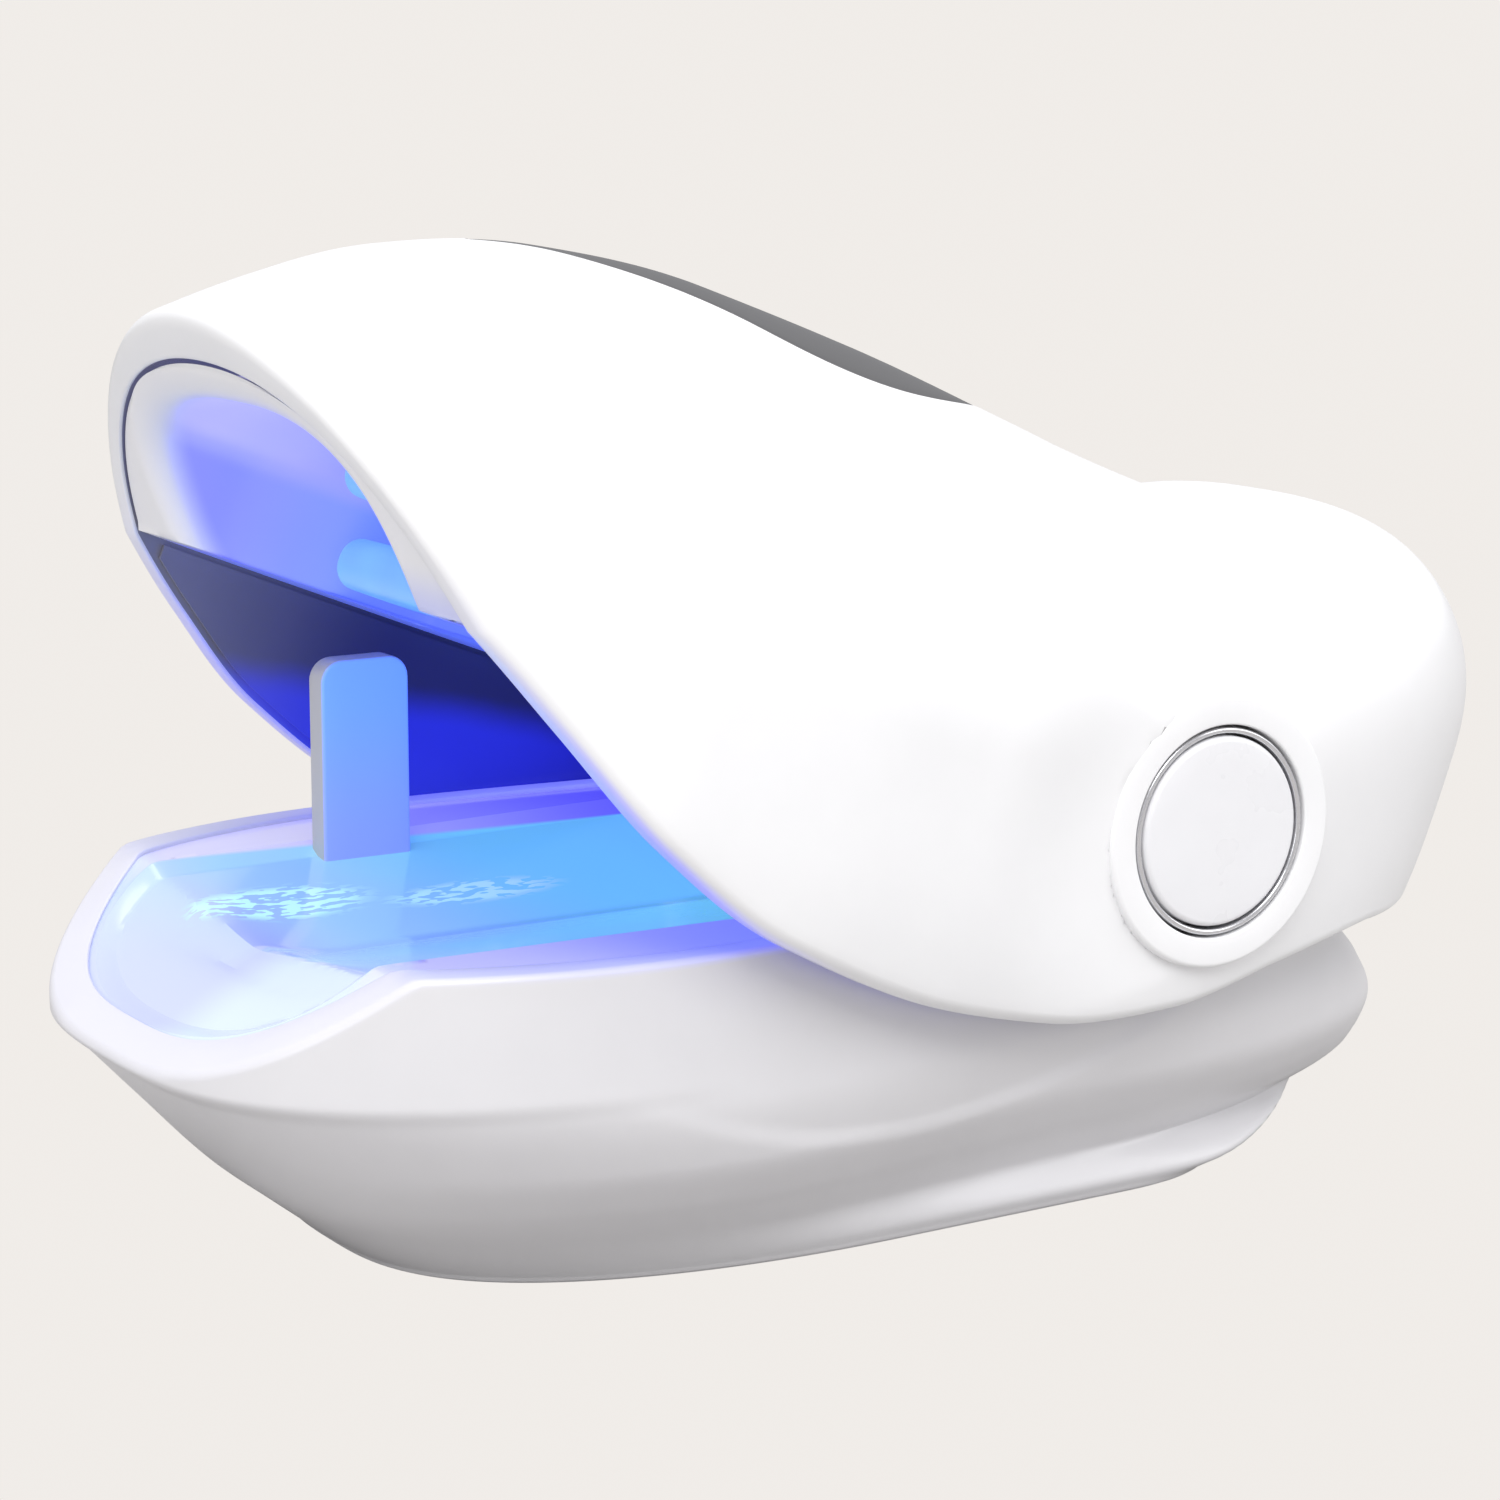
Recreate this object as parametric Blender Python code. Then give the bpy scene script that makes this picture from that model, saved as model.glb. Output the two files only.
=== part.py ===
"""Hinged clamshell light sanitizer, shown open.

A footed base carries a shallow tray, a battery and the electronics. A lid with deep skirts turns on a
shaft between two side bosses and carries the light chamber and the display. Sizes are millimetres,
turned into metres when a mesh is made. Stations run back from the corners of the mouth, and heights
run up from the rim of the base.
"""

import math

import bmesh
import bpy
import numpy as np
from mathutils import Euler, Vector

MM = 0.001
SEGMENTS = 18  # facets round a small cylinder

# ---- Driving sizes -----------------------------------------------------------------------------------
MOUTH_X = -40.8  # the mouth's corners, from the middle of the object's length
RIM_Z = 22.9  # the rim of the base above the floor
OPEN_DEG = 21.8  # how far the lid stands open at rest
HINGE_S, HINGE_H = 53.6, 3.65  # hinge axis: station and height
WALL = 2.3  # moulded wall of both shells
FIT = 0.3  # gap between pieces that sit against each other
RUN_FIT = 0.08  # radial clearance of what turns or slides in a hole

# Lid, closed: ridge height and half width along its stations.
NOSE_S = -14.0
LID_END_S = 89.6
RIDGE = ((-14, 11.8), (-6, 17.9), (0, 21.7), (8, 24.7), (18, 26.2), (30, 26.4), (42, 26.0),
         (54, 25.4), (60, 25.2), (66, 27.2), (71, 29.2), (76, 29.9), (80, 30.0))
LID_PLAN = ((-14, 11.8), (-8, 18.5), (0, 25.4), (6, 27.8), (14, 29.5), (24, 29.9), (35, 29.2),
            (48, 28.1), (58, 27.2))
LID_TOP_POWER, LID_LOW_POWER = 2.7, 3.4  # how square the section is above and below its widest line
LID_NOSE_POWER = 2.05  # the same above that line, from the mouth to the display's end
BROW = 0.9  # share by which the wall over the mouth is thicker
LID_DEPTH = 30.0  # from the widest line down to the virtual keel
WIDEST_FRONT, WIDEST_REAR = 2.5, 15.5  # height of the widest line
RUMP_S, TAPER_S, KEEL_S = 70.0, 56.0, 52.0  # stations where ridge, plan and keel start to close
FACE_LEAN = 0.985  # run forward of the lid's mouth face for each unit of height
SKIRT_EDGE = ((0, 0), (6, -3.8), (14, -8.3), (24, -11.4), (35, -12.3), (46, -11.2),
              (56, -7.8), (64, -3.0), (74, 1.6), (84, 4.3), (96, 7.54))

# Base: bow station, half width and tail station at each height.
BOW = ((-22.5, 4.5), (-19.4, 0.6), (-17.2, -2.1), (-13, -6.0), (-9, -9.7), (-7.7, -11), (10, -11))
BASE_PLAN = ((-22.5, 18.8), (-19.5, 20.3), (-17.5, 21.7), (-16, 22.9), (-13, 24.8), (-9, 25.6),
             (-5, 25.6), (0, 25.5), (10, 25.2))
TAIL = ((-22.5, 64), (-21.3, 69), (-20, 78), (-19, 83), (-17.5, 86.3), (-15, 87), (-12, 85.4),
        (-8.5, 82.6), (-4, 82.2), (0, 82.6), (10, 83.2))
BOW_LENGTH = 30.0  # the bow rounds in over this length
HULL_END, FOOT_END = 34.0, 12.0  # the tail and the foot round in over these lengths
HULL_TAPER = 0.11  # share of the width that the hull loses toward the hinge
FOOT_Z = -22.5
RIM_FALL = 0.70  # fall of the mouth's rim for each unit forward
RIM_LINE = ((-40, -28), (0, 0), (58, 0), (66, 1.6), (74, 5.4), (80, 7.0), (100, 7.0))
INNER_LIFT = 2.2  # the cavity of the base stays this far above its outer form

# Tray and tab.
TRAY_SINK, TRAY_THICK = 0.3, 1.8
TRAY_END_S = 44.0
TROUGH_HALF, TROUGH_GROWTH = 16.0, 0.05
TROUGH_DEPTH, LIP_DEPTH, LIP_LENGTH = 3.2, 0.3, 8.0
TAB_S, TAB_WIDE = 14.65, 6.5
TAB_Y, TAB_THICK = 15.0, 2.1
TAB_TOP, TAB_CORNER = 12.2, 1.4
TAB_SLOT_FIT = 0.35

# Light chamber.
CHAMBER_WALL = 1.4
DECK_Z, DECK_THICK, DECK_END_S = 0.4, 1.0, 44.0
FACE_THICK = 1.8
CAVITY_PLAN = ((-16, 16.2), (2, 16.0), (7, 14.0), (11, 12.3), (18, 12.3))
CAVITY_ROOF = ((-16, 8.0), (-8, 8.8), (-2, 10.8), (4, 12.0), (18, 12.0))
CAVITY_END_S = 17.0
LINER_THICK = 0.5

# Boss, button and hinge.
BOSS_FACE_Y, BOSS_BACK_Y = 27.8, 23.6
BOSS_R, BORE_R, BORE_FLOOR_Y = 8.75, 6.85, 24.9
DISC_R, DISC_THICK = 6.1, 1.9
STEM_R, STEM_END_Y = 1.4, 23.5
TRAVEL = 0.6
RING_R, RING_THICK = 6.65, 0.4
SWITCH_FACE_Y, PLUNGER_R = 22.2, 1.1
SHAFT_R = 1.9
BUSH_R = 3.2
EAR_IN_Y, EAR_OUT_Y = 12.0, 14.4
WASHER_THICK = 0.5
LEG_IN_Y, LEG_OUT_Y = 15.4, 17.9
LEG_R = 4.6
FRAME_S0, FRAME_S1 = 46.0, 61.0
FRAME_Z, FRAME_THICK = 16.0, 2.0

# Display.
LIGHT_BARS = (("light_bar_lower", 8.3, 11.6, 1.0, 4.4), ("light_bar_upper", 5.2, 8.6, 6.6, 10.0))
WINDOW_S0, WINDOW_S1, WINDOW_HALF, WINDOW_THICK = 4.5, 45.0, 15.5, 1.0

# Base fittings.
COVER_THICK = 1.8
PAD_R, PAD_THICK, PAD_PROUD = 4.0, 1.2, 0.4
COVER_SCREWS = ((24.5, -12.6), (24.5, 12.6), (44.5, -13.5), (44.5, 13.5))
CELL_SIZE = (30.0, 20.0, 5.6)
BOARD_THICK = 1.2
SOCKET_SIZE = (7.4, 9.0, 3.2)
SCREW_R, SCREW_HEAD_R, SCREW_HEAD = 0.9, 1.8, 1.2


# ---- Curves ------------------------------------------------------------------------------------------
def through(points, at):
    """A smooth curve through (position, value) points that adds no bumps, read at one or many places."""
    place, value = np.array(points, float).T
    step = np.diff(place)
    rise = np.diff(value) / step
    slope = np.r_[rise[0], np.zeros(len(rise) - 1), rise[-1]]
    same = rise[:-1] * rise[1:] > 0
    both = np.where(same, rise[:-1] + rise[1:], 1.0)
    slope[1:-1] = np.where(same, 2 * rise[:-1] * rise[1:] / both, 0.0)
    at = np.clip(np.asarray(at, float), place[0], place[-1])
    i = np.clip(np.searchsorted(place, at, side="right") - 1, 0, len(step) - 1)
    t = (at - place[i]) / step[i]
    rest = 1 - t
    ends = value[i] * (1 + 2 * t) * rest**2 + value[i + 1] * (1 + 2 * rest) * t**2
    return ends + step[i] * (slope[i] * t * rest**2 - slope[i + 1] * t**2 * rest)


def closing(station, start, end, power):
    """1 up to the start, then rounding down to 0 at the end."""
    t = np.clip((station - start) / (end - start), 0, 1)
    return np.sqrt(1 - t**power)


def ease(t):
    t = np.clip(t, 0, 1)
    return t * t * (3 - 2 * t)


def lid_sizes(station, inset=0.0):
    """Widest line, rise above it, half width and depth below it, for the lid's section."""
    end = LID_END_S - inset
    widest = WIDEST_FRONT + (WIDEST_REAR - WIDEST_FRONT) * np.clip((station - 20) / (end - 20), 0, 1) ** 1.6
    thick = inset * (1 + BROW * (1 - ease((station - NOSE_S) / 18)))
    rise = (through(RIDGE, station) - thick - widest) * closing(station, RUMP_S, end, 2.0)
    half = (through(LID_PLAN, station) - inset) * closing(station, TAPER_S, end, 1.7)
    depth = (LID_DEPTH - inset) * closing(station, KEEL_S, end, 2.0)
    return widest, rise, half, depth


def top_power(station):
    """Squareness of the section above its widest line."""
    return LID_NOSE_POWER + (LID_TOP_POWER - LID_NOSE_POWER) * ease((station - 46) / 16)


def lid_top(station, y, inset=0.0):
    widest, rise, half, _ = lid_sizes(station, inset)
    share = np.clip(np.abs(y) / np.maximum(half, 1e-6), 0, 1)
    power = top_power(station)
    return widest + rise * (1 - share**power) ** (1 / power)


def base_half(station, height, inset=0.0):
    """Half width of the base's outer form."""
    bow = through(BOW, height) + inset
    tail = through(TAIL, height) - inset
    foot = ease((-19 - height) / 2.5)
    front = (1 - (1 - np.clip((station - bow) / BOW_LENGTH, 0, 1)) ** 2) ** (1 / 3)
    run = HULL_END + (FOOT_END - HULL_END) * foot
    t = np.clip((station - tail + run) / run, 0, 1)
    rear = (1 - t ** (1.8 + 1.2 * foot)) ** (1 / (2 + foot))
    taper = 1 - HULL_TAPER * (1 - foot) * ease((station - 18) / 34)
    return (through(BASE_PLAN, height) - inset) * front * rear * taper


# ---- Meshes ------------------------------------------------------------------------------------------
def place(points):
    """World metres from stations, widths and heights."""
    points = np.asarray(points, float)
    return (points + np.array((MOUTH_X, 0.0, RIM_Z))) * MM


def finish(name, colour, roughness, metallic=0.0, transmission=0.0, emission=None):
    material = bpy.data.materials.new(name)
    material.use_nodes = True
    shader = material.node_tree.nodes["Principled BSDF"]
    shader.inputs["Base Color"].default_value = (*colour, 1)
    shader.inputs["Roughness"].default_value = roughness
    shader.inputs["Metallic"].default_value = metallic
    shader.inputs["Transmission Weight"].default_value = transmission
    if emission:
        shader.inputs["Emission Color"].default_value = (*emission, 1)
        shader.inputs["Emission Strength"].default_value = 2.0
    return material


def to_object(name, bm, material, parent=None, helper=False):
    """One object from a bmesh given in stations, widths and heights."""
    mesh = bpy.data.meshes.new(name)
    bmesh.ops.recalc_face_normals(bm, faces=bm.faces)
    origin = Vector(parent.location) if parent else Vector((0, 0, 0))
    for vertex in bm.verts:
        vertex.co = Vector(place(vertex.co)) - origin
    bm.to_mesh(mesh)
    bm.free()
    obj = bpy.data.objects.new(name, mesh)
    bpy.context.scene.collection.objects.link(obj)
    obj.parent = parent
    if material:
        mesh.materials.append(material)
    if helper:
        obj.hide_render = True
        obj.display_type = "WIRE"
    return obj


def loft(rings, blunt=True):
    """A closed solid through rings of equal count."""
    bm = bmesh.new()
    rows = [[bm.verts.new(point) for point in ring] for ring in rings]
    count = len(rows[0])
    for a, b in zip(rows, rows[1:]):
        for i in range(count):
            j = (i + 1) % count
            bm.faces.new((a[i], a[j], b[j], b[i]))
    bm.faces.new(rows[0])
    bm.faces.new(rows[-1])
    bmesh.ops.remove_doubles(bm, verts=bm.verts, dist=1e-4)
    return bm


def box(s0, s1, y0, y1, z0, z1):
    bm = bmesh.new()
    bmesh.ops.create_cube(bm, size=1)
    for vertex in bm.verts:
        vertex.co = Vector((
            s0 + (s1 - s0) * (vertex.co.x + 0.5),
            y0 + (y1 - y0) * (vertex.co.y + 0.5),
            z0 + (z1 - z0) * (vertex.co.z + 0.5),
        ))
    return bm


def rounded_box(s0, s1, y0, y1, z0, z1, radius, steps=3):
    bm = box(s0, s1, y0, y1, z0, z1)
    bmesh.ops.bevel(bm, geom=list(bm.edges), offset=radius, segments=steps, affect="EDGES", profile=0.5)
    return bm


def cylinder(axis, centre, radius, low, high, segments=SEGMENTS, radius_high=None):
    """A cylinder or cone along "Y" or "Z", between two places on that axis."""
    bm = bmesh.new()
    bmesh.ops.create_cone(
        bm, cap_ends=True, segments=segments, radius1=radius,
        radius2=radius if radius_high is None else radius_high, depth=high - low,
    )
    middle = (low + high) / 2
    if axis == "Y":
        # A cone points along +Z, and a turn of -90 degrees about X points it along +Y.
        bmesh.ops.rotate(bm, verts=bm.verts, matrix=Euler((-math.pi / 2, 0, 0)).to_matrix())
        shift = Vector((centre[0], middle, centre[1]))
    else:
        shift = Vector((centre[0], centre[1], middle))
    bmesh.ops.translate(bm, verts=bm.verts, vec=shift)
    return bm


def ring_solid(axis, centre, outer, inner, low, high, segments=SEGMENTS):
    """A tube along "Y" or "Z"."""
    turn = np.linspace(0, 2 * math.pi, segments, endpoint=False)
    corners = ((outer, low), (outer, high), (inner, high), (inner, low))
    bm = bmesh.new()
    rows = []
    for radius, along in corners:
        u, v = centre[0] + radius * np.cos(turn), centre[1] + radius * np.sin(turn)
        flat = np.full_like(u, along)
        order = (u, flat, v) if axis == "Y" else (u, v, flat)
        rows.append([bm.verts.new(point) for point in np.stack(order, 1)])
    for k in range(4):
        a, b = rows[k], rows[(k + 1) % 4]
        for i in range(segments):
            j = (i + 1) % segments
            bm.faces.new((a[i], a[j], b[j], b[i]))
    return bm


def prism(profile, y0, y1):
    """A side profile of (station, height) points, extruded across from y0 to y1."""
    bm = bmesh.new()
    face = bm.faces.new([bm.verts.new((s, y0, z)) for s, z in profile])
    made = bmesh.ops.extrude_face_region(bm, geom=[face])["geom"]
    moved = [item for item in made if isinstance(item, bmesh.types.BMVert)]
    bmesh.ops.translate(bm, verts=moved, vec=(0, y1 - y0, 0))
    return bm


def grid_solid(stations, half, top, bottom, across):
    """A plate over a grid of stations and widths, with its top and bottom heights as functions."""
    share = np.linspace(-1, 1, across)
    s, v = np.meshgrid(stations, share, indexing="ij")
    y = v * half(s)
    bm = bmesh.new()
    layers = []
    for height in (bottom(s, y), top(s, y)):
        points = np.stack((s, y, height), -1)
        layers.append([[bm.verts.new(point) for point in row] for row in points])
    low, high = layers
    last_s, last_v = len(stations) - 1, across - 1
    for i in range(last_s):
        for j in range(last_v):
            bm.faces.new((low[i][j], low[i][j + 1], low[i + 1][j + 1], low[i + 1][j]))
            bm.faces.new((high[i][j], high[i + 1][j], high[i + 1][j + 1], high[i][j + 1]))
        for j in (0, last_v):
            bm.faces.new((low[i][j], low[i + 1][j], high[i + 1][j], high[i][j]))
    for j in range(last_v):
        for i in (0, last_s):
            bm.faces.new((low[i][j], low[i][j + 1], high[i][j + 1], high[i][j]))
    bmesh.ops.remove_doubles(bm, verts=bm.verts, dist=1e-4)
    return bm


def combine(target, operation, bm, parent=None):
    """Join, cut or keep what a helper solid covers, as a live exact Boolean."""
    helper = to_object(f"{target.name}_helper", bm, None, parent, helper=True)
    modifier = target.modifiers.new(operation.title(), "BOOLEAN")
    modifier.operation = operation
    modifier.solver = "EXACT"
    modifier.object = helper
    return helper


# ---- Forms shared by several pieces ------------------------------------------------------------------
def lid_form(inset=0.0, around=34):
    """The lid's closed form, from nose to rump, shrunk by an inset."""
    end = LID_END_S - inset
    straight = np.linspace(NOSE_S - inset / 2, 66, 15, endpoint=False)
    round_end = 66 + (end - 66) * np.sin(np.radians(np.linspace(0, 90, 8)))
    turn = np.linspace(0, 2 * math.pi, around, endpoint=False)
    rings = []
    for station in np.r_[straight, round_end]:
        widest, rise, half, depth = lid_sizes(station, inset)
        up = np.cos(turn) >= 0
        power = np.where(up, top_power(station), LID_LOW_POWER)
        reach = (np.abs(np.sin(turn)) ** power + np.abs(np.cos(turn)) ** power) ** (-1 / power)
        y = half * reach * np.sin(turn)
        z = widest + np.where(up, rise, depth) * reach * np.cos(turn)
        rings.append(np.stack((np.full_like(y, station), y, z), 1))
    return loft(rings)


def waterline(level, inset=0.0, steps=7):
    """Stations round one waterline, close together where the bow and the tail turn in."""
    bow = through(BOW, level) + inset
    tail = through(TAIL, level) - inset
    foot = ease((-19 - level) / 2.5)
    run = HULL_END + (FOOT_END - HULL_END) * foot
    share = np.sin(np.radians(np.linspace(0, 90, steps + 1)))
    front = bow + BOW_LENGTH * (1 - np.sqrt(1 - share**3))
    rear = tail - run * (1 - (1 - share[::-1] ** (2 + foot)) ** (1 / (1.8 + 1.2 * foot)))
    return np.r_[front, np.linspace(front[-1], rear[0], 4)[1:-1], rear]


def base_form(inset=0.0, lift=0.0, low=FOOT_Z, high=7.5, steps=7):
    """The base's form as a stack of waterlines. A lift samples the form lower, for its cavity."""
    heights = [low, -21.3, -20.0, -18.8, -17.5, -16.0, -13.5, -11.0, -8.4, -4.0, 0.0, high]
    rings = []
    for height in heights:
        level = max(height - lift, FOOT_Z)
        station = waterline(level, inset, steps)
        half = base_half(station, level, inset)
        half[[0, -1]] = 0
        there = np.stack((station, half, np.full_like(half, height)), 1)
        back = np.stack((station, -half, np.full_like(half, height)), 1)[-2:0:-1]
        rings.append(np.r_[there, back])
    return loft(rings)


def skirt_profile(drop=0.0, to=96, steps=24):
    """The lower edge of the lid's skirts."""
    stations = np.linspace(0, to, steps)
    return [(s, z + drop) for s, z in zip(stations, through(SKIRT_EDGE, stations))]


def tray_top(station, y, sink=TRAY_SINK):
    """Height of the tray: a level ledge, a faceted trough, and a lip that follows the mouth."""
    edge = np.minimum(0.0, RIM_FALL * station) - sink
    reach = np.clip(1 - (np.minimum(station, 0) / LIP_LENGTH) ** 2, 0, 1) ** (1 / 2.3)
    half = np.maximum((TROUGH_HALF + TROUGH_GROWTH * np.maximum(station, 0)) * reach, 1e-3)
    share = np.clip(np.abs(y) / half, 0, 1)
    depth = LIP_DEPTH + (TROUGH_DEPTH - LIP_DEPTH) * ease((station + LIP_LENGTH) / 12)
    fall = np.interp(share, (0, 0.08, 0.9, 1.0), (1.0, 0.96, 0.24, 0.0))
    return edge - depth * fall * (reach > 0)


def cavity_form(inset=0.0, start=-16.0, end=CAVITY_END_S, floor=-4.0, half_count=12):
    """The space in the light chamber: an arch over the mouth that narrows to the rear."""
    stations = (start, -10, -6, -2, 2, 4.5, 7, 9, 11, end)
    turn = np.radians(np.linspace(0, 180, half_count + 1))
    rings = []
    for station in stations:
        half = through(CAVITY_PLAN, station) + inset
        roof = through(CAVITY_ROOF, station) + inset
        power = 2.6
        reach = (np.abs(np.cos(turn)) ** power + np.sin(turn) ** power) ** (-1 / power)
        y = half * reach * np.cos(turn)
        z = roof * reach * np.sin(turn)
        y, z = np.r_[half, y, -half], np.r_[floor, z, floor]
        rings.append(np.stack((np.full_like(y, station), y, z), 1))
    return loft(rings)


def leaf_half(station, margin=0.0):
    """Half width of the display's leaf outline."""
    length = WINDOW_S1 - WINDOW_S0
    t = np.clip((station - WINDOW_S0) / length, 0, 1)
    return WINDOW_HALF * np.sin(math.pi * t) ** 0.8 + margin


def screw(name, material, parent, station, y, seat, tip):
    """A pan-head screw along Z: its head is beyond the seat, and its shank runs to the tip."""
    away = 1 if seat > tip else -1
    head = sorted((seat, seat + away * SCREW_HEAD))
    obj = to_object(name, cylinder("Z", (station, y), SCREW_HEAD_R, *head, segments=12), material, parent)
    shank = sorted((seat + away * SCREW_HEAD / 2, tip))
    combine(obj, "UNION", cylinder("Z", (station, y), SCREW_R, *shank, segments=10), parent)
    return obj


def hole(target, axis, centre, radius, low, high, parent=None, segments=SEGMENTS):
    return combine(target, "DIFFERENCE", cylinder(axis, centre, radius, low, high, segments), parent)


# ---- The lid -----------------------------------------------------------------------------------------
def keep_profile():
    """What lies in front of the lid's mouth face and under its skirts."""
    reach = 26.0
    edge = skirt_profile()
    return [(-FACE_LEAN * reach, reach), *edge, (96, -45), (-45, -45), (-45, reach)]


def build_lid(axis, finishes):
    axle = (HINGE_S, HINGE_H)
    shell = to_object("lid_shell", lid_form(), finishes["shell"], axis)
    combine(shell, "DIFFERENCE", lid_form(WALL, 24), axis)
    for side in (-1, 1):
        ends = sorted((side * BOSS_BACK_Y, side * BOSS_FACE_Y))
        combine(shell, "UNION", cylinder("Y", axle, BOSS_R, *ends, segments=32), axis)
    posts = [(FRAME_S0 + 4, 9.0, FRAME_Z + FRAME_THICK + FIT),
             (FRAME_S0 + 4, -9.0, FRAME_Z + FRAME_THICK + FIT),
             (12.0, 0.0, 21.5), (36.0, 0.0, 21.5)]
    for station, y, low in posts:
        top = float(lid_top(station, y, WALL)) + 0.6
        combine(shell, "UNION", cylinder("Z", (station, y), 2.4, low, top, 14), axis)
    for side in (-1, 1):
        ends = sorted((side * BORE_FLOOR_Y, side * (BOSS_FACE_Y + 1)))
        hole(shell, "Y", axle, BORE_R, *ends, axis, 32)
    hole(shell, "Y", axle, STEM_R + RUN_FIT, -BORE_FLOOR_Y - 1, -BOSS_BACK_Y + 1, axis)
    combine(shell, "DIFFERENCE", prism(keep_profile(), -40, 40), axis)
    stations = np.linspace(WINDOW_S0 - FIT, WINDOW_S1 + FIT, 17)
    combine(shell, "DIFFERENCE", grid_solid(
        stations, lambda s: leaf_half(s, FIT), lambda s, y: lid_top(s, y) + 3,
        lambda s, y: lid_top(s, y) - WINDOW_THICK - 0.25, 7), axis)
    combine(shell, "DIFFERENCE", box(14.5, 33.5, -3.2, 3.2, 20, 28), axis)
    for station, y, low in posts:
        hole(shell, "Z", (station, y), SCREW_R + FIT, low - 1, low + 2.2, axis, 10)

    stations = np.linspace(WINDOW_S0, WINDOW_S1, 17)
    to_object("display_window", grid_solid(
        stations, leaf_half, lambda s, y: lid_top(s, y) - 0.05,
        lambda s, y: lid_top(s, y) - WINDOW_THICK, 7), finishes["window"], axis)
    to_object("display_module", box(15, 33, -2.7, 2.7, 21.4, 24.2), finishes["dark"], axis)
    board = to_object("display_board", box(9, 39, -5, 5, 20.0, 21.2), finishes["board"], axis)
    for station, name in ((12.0, "display_screw_front"), (36.0, "display_screw_rear")):
        hole(board, "Z", (station, 0), SCREW_R + FIT, 19, 22, axis, 10)
        screw(name, finishes["steel"], axis, station, 0, 19.7, 22.9)

    build_chamber(axis, finishes)
    build_lid_hinge(axis, finishes)


def build_chamber(axis, finishes):
    """The light chamber with its mouth face and deck, its light bars, emitters and sensor."""
    back = FACE_THICK / math.cos(math.atan(FACE_LEAN))
    recess, deck_top = 0.35, DECK_Z + DECK_THICK
    reach = 16.0
    section = [
        (recess - FACE_LEAN * DECK_Z, DECK_Z), (recess - FACE_LEAN * reach, reach),
        (recess + back - FACE_LEAN * reach, reach), (recess + back - FACE_LEAN * deck_top, deck_top),
        (DECK_END_S, deck_top), (DECK_END_S, DECK_Z),
    ]
    chamber = to_object("light_chamber", lid_form(WALL + FIT, 24), finishes["insert"], axis)
    combine(chamber, "INTERSECT", prism(section, -40, 40), axis)
    tub = to_object("tub_helper", cavity_form(CHAMBER_WALL, start=-9.0, floor=DECK_Z + 0.3), None, axis, True)
    combine(tub, "DIFFERENCE", prism(
        [(recess + 0.5 - FACE_LEAN * DECK_Z, DECK_Z), (recess + 0.5 - FACE_LEAN * reach, reach),
         (-30, reach), (-30, DECK_Z)], -40, 40), axis)
    joined = chamber.modifiers.new("Tub", "BOOLEAN")
    joined.operation, joined.solver, joined.object = "UNION", "EXACT", tub
    combine(chamber, "DIFFERENCE", cavity_form(), axis)
    combine(chamber, "DIFFERENCE", box(
        TAB_S - TAB_WIDE / 2 - 0.8, TAB_S + TAB_WIDE / 2 + 0.8,
        TAB_Y - TAB_THICK / 2 - 0.5, TAB_Y + TAB_THICK / 2 + 0.5, DECK_Z - 1, deck_top + 1), axis)

    inner = WALL + FIT
    for side, name in ((-1, "skirt_liner_left"), (1, "skirt_liner_right")):
        liner = to_object(name, lid_form(inner, 24), finishes["liner"], axis)
        combine(liner, "DIFFERENCE", lid_form(inner + LINER_THICK, 24), axis)
        low = [(s, z) for s, z in skirt_profile(drop=1.4, to=43, steps=14) if s > 7]
        band = [*low, (low[-1][0], DECK_Z - FIT), (low[0][0], DECK_Z - FIT)]
        combine(liner, "INTERSECT", prism(band, *sorted((side * 8, side * 40))), axis)

    for name, front, half, z0, z1 in LIGHT_BARS:
        to_object(name, rounded_box(front, 15.6, -half, half, z0, z1, 1.3), finishes["light_bar"], axis)
    leds = ((-5.0, 3.1), (5.0, 3.1), (-4.0, 8.5), (4.0, 8.5))
    for number, (y, z) in enumerate(leds, 1):
        to_object(f"emitter_led_{number}", box(15.9, 17.0, y - 1.7, y + 1.7, z - 1.4, z + 1.4),
                  finishes["led"], axis)
    to_object("emitter_board", box(17.3, 18.5, -13, 13, 2.0, 12.0), finishes["board"], axis)

    outer, inner_y = TAB_Y + TAB_THICK / 2 + 0.5, TAB_Y - TAB_THICK / 2 - 0.5
    sensor = to_object("interlock_sensor", box(12.4, 16.9, inner_y - 1.2, outer + 1.2, 9.6, 16.0),
                       finishes["dark"], axis)
    combine(sensor, "DIFFERENCE", box(11, 18, inner_y, outer, 8, TAB_TOP + 0.8), axis)


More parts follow.
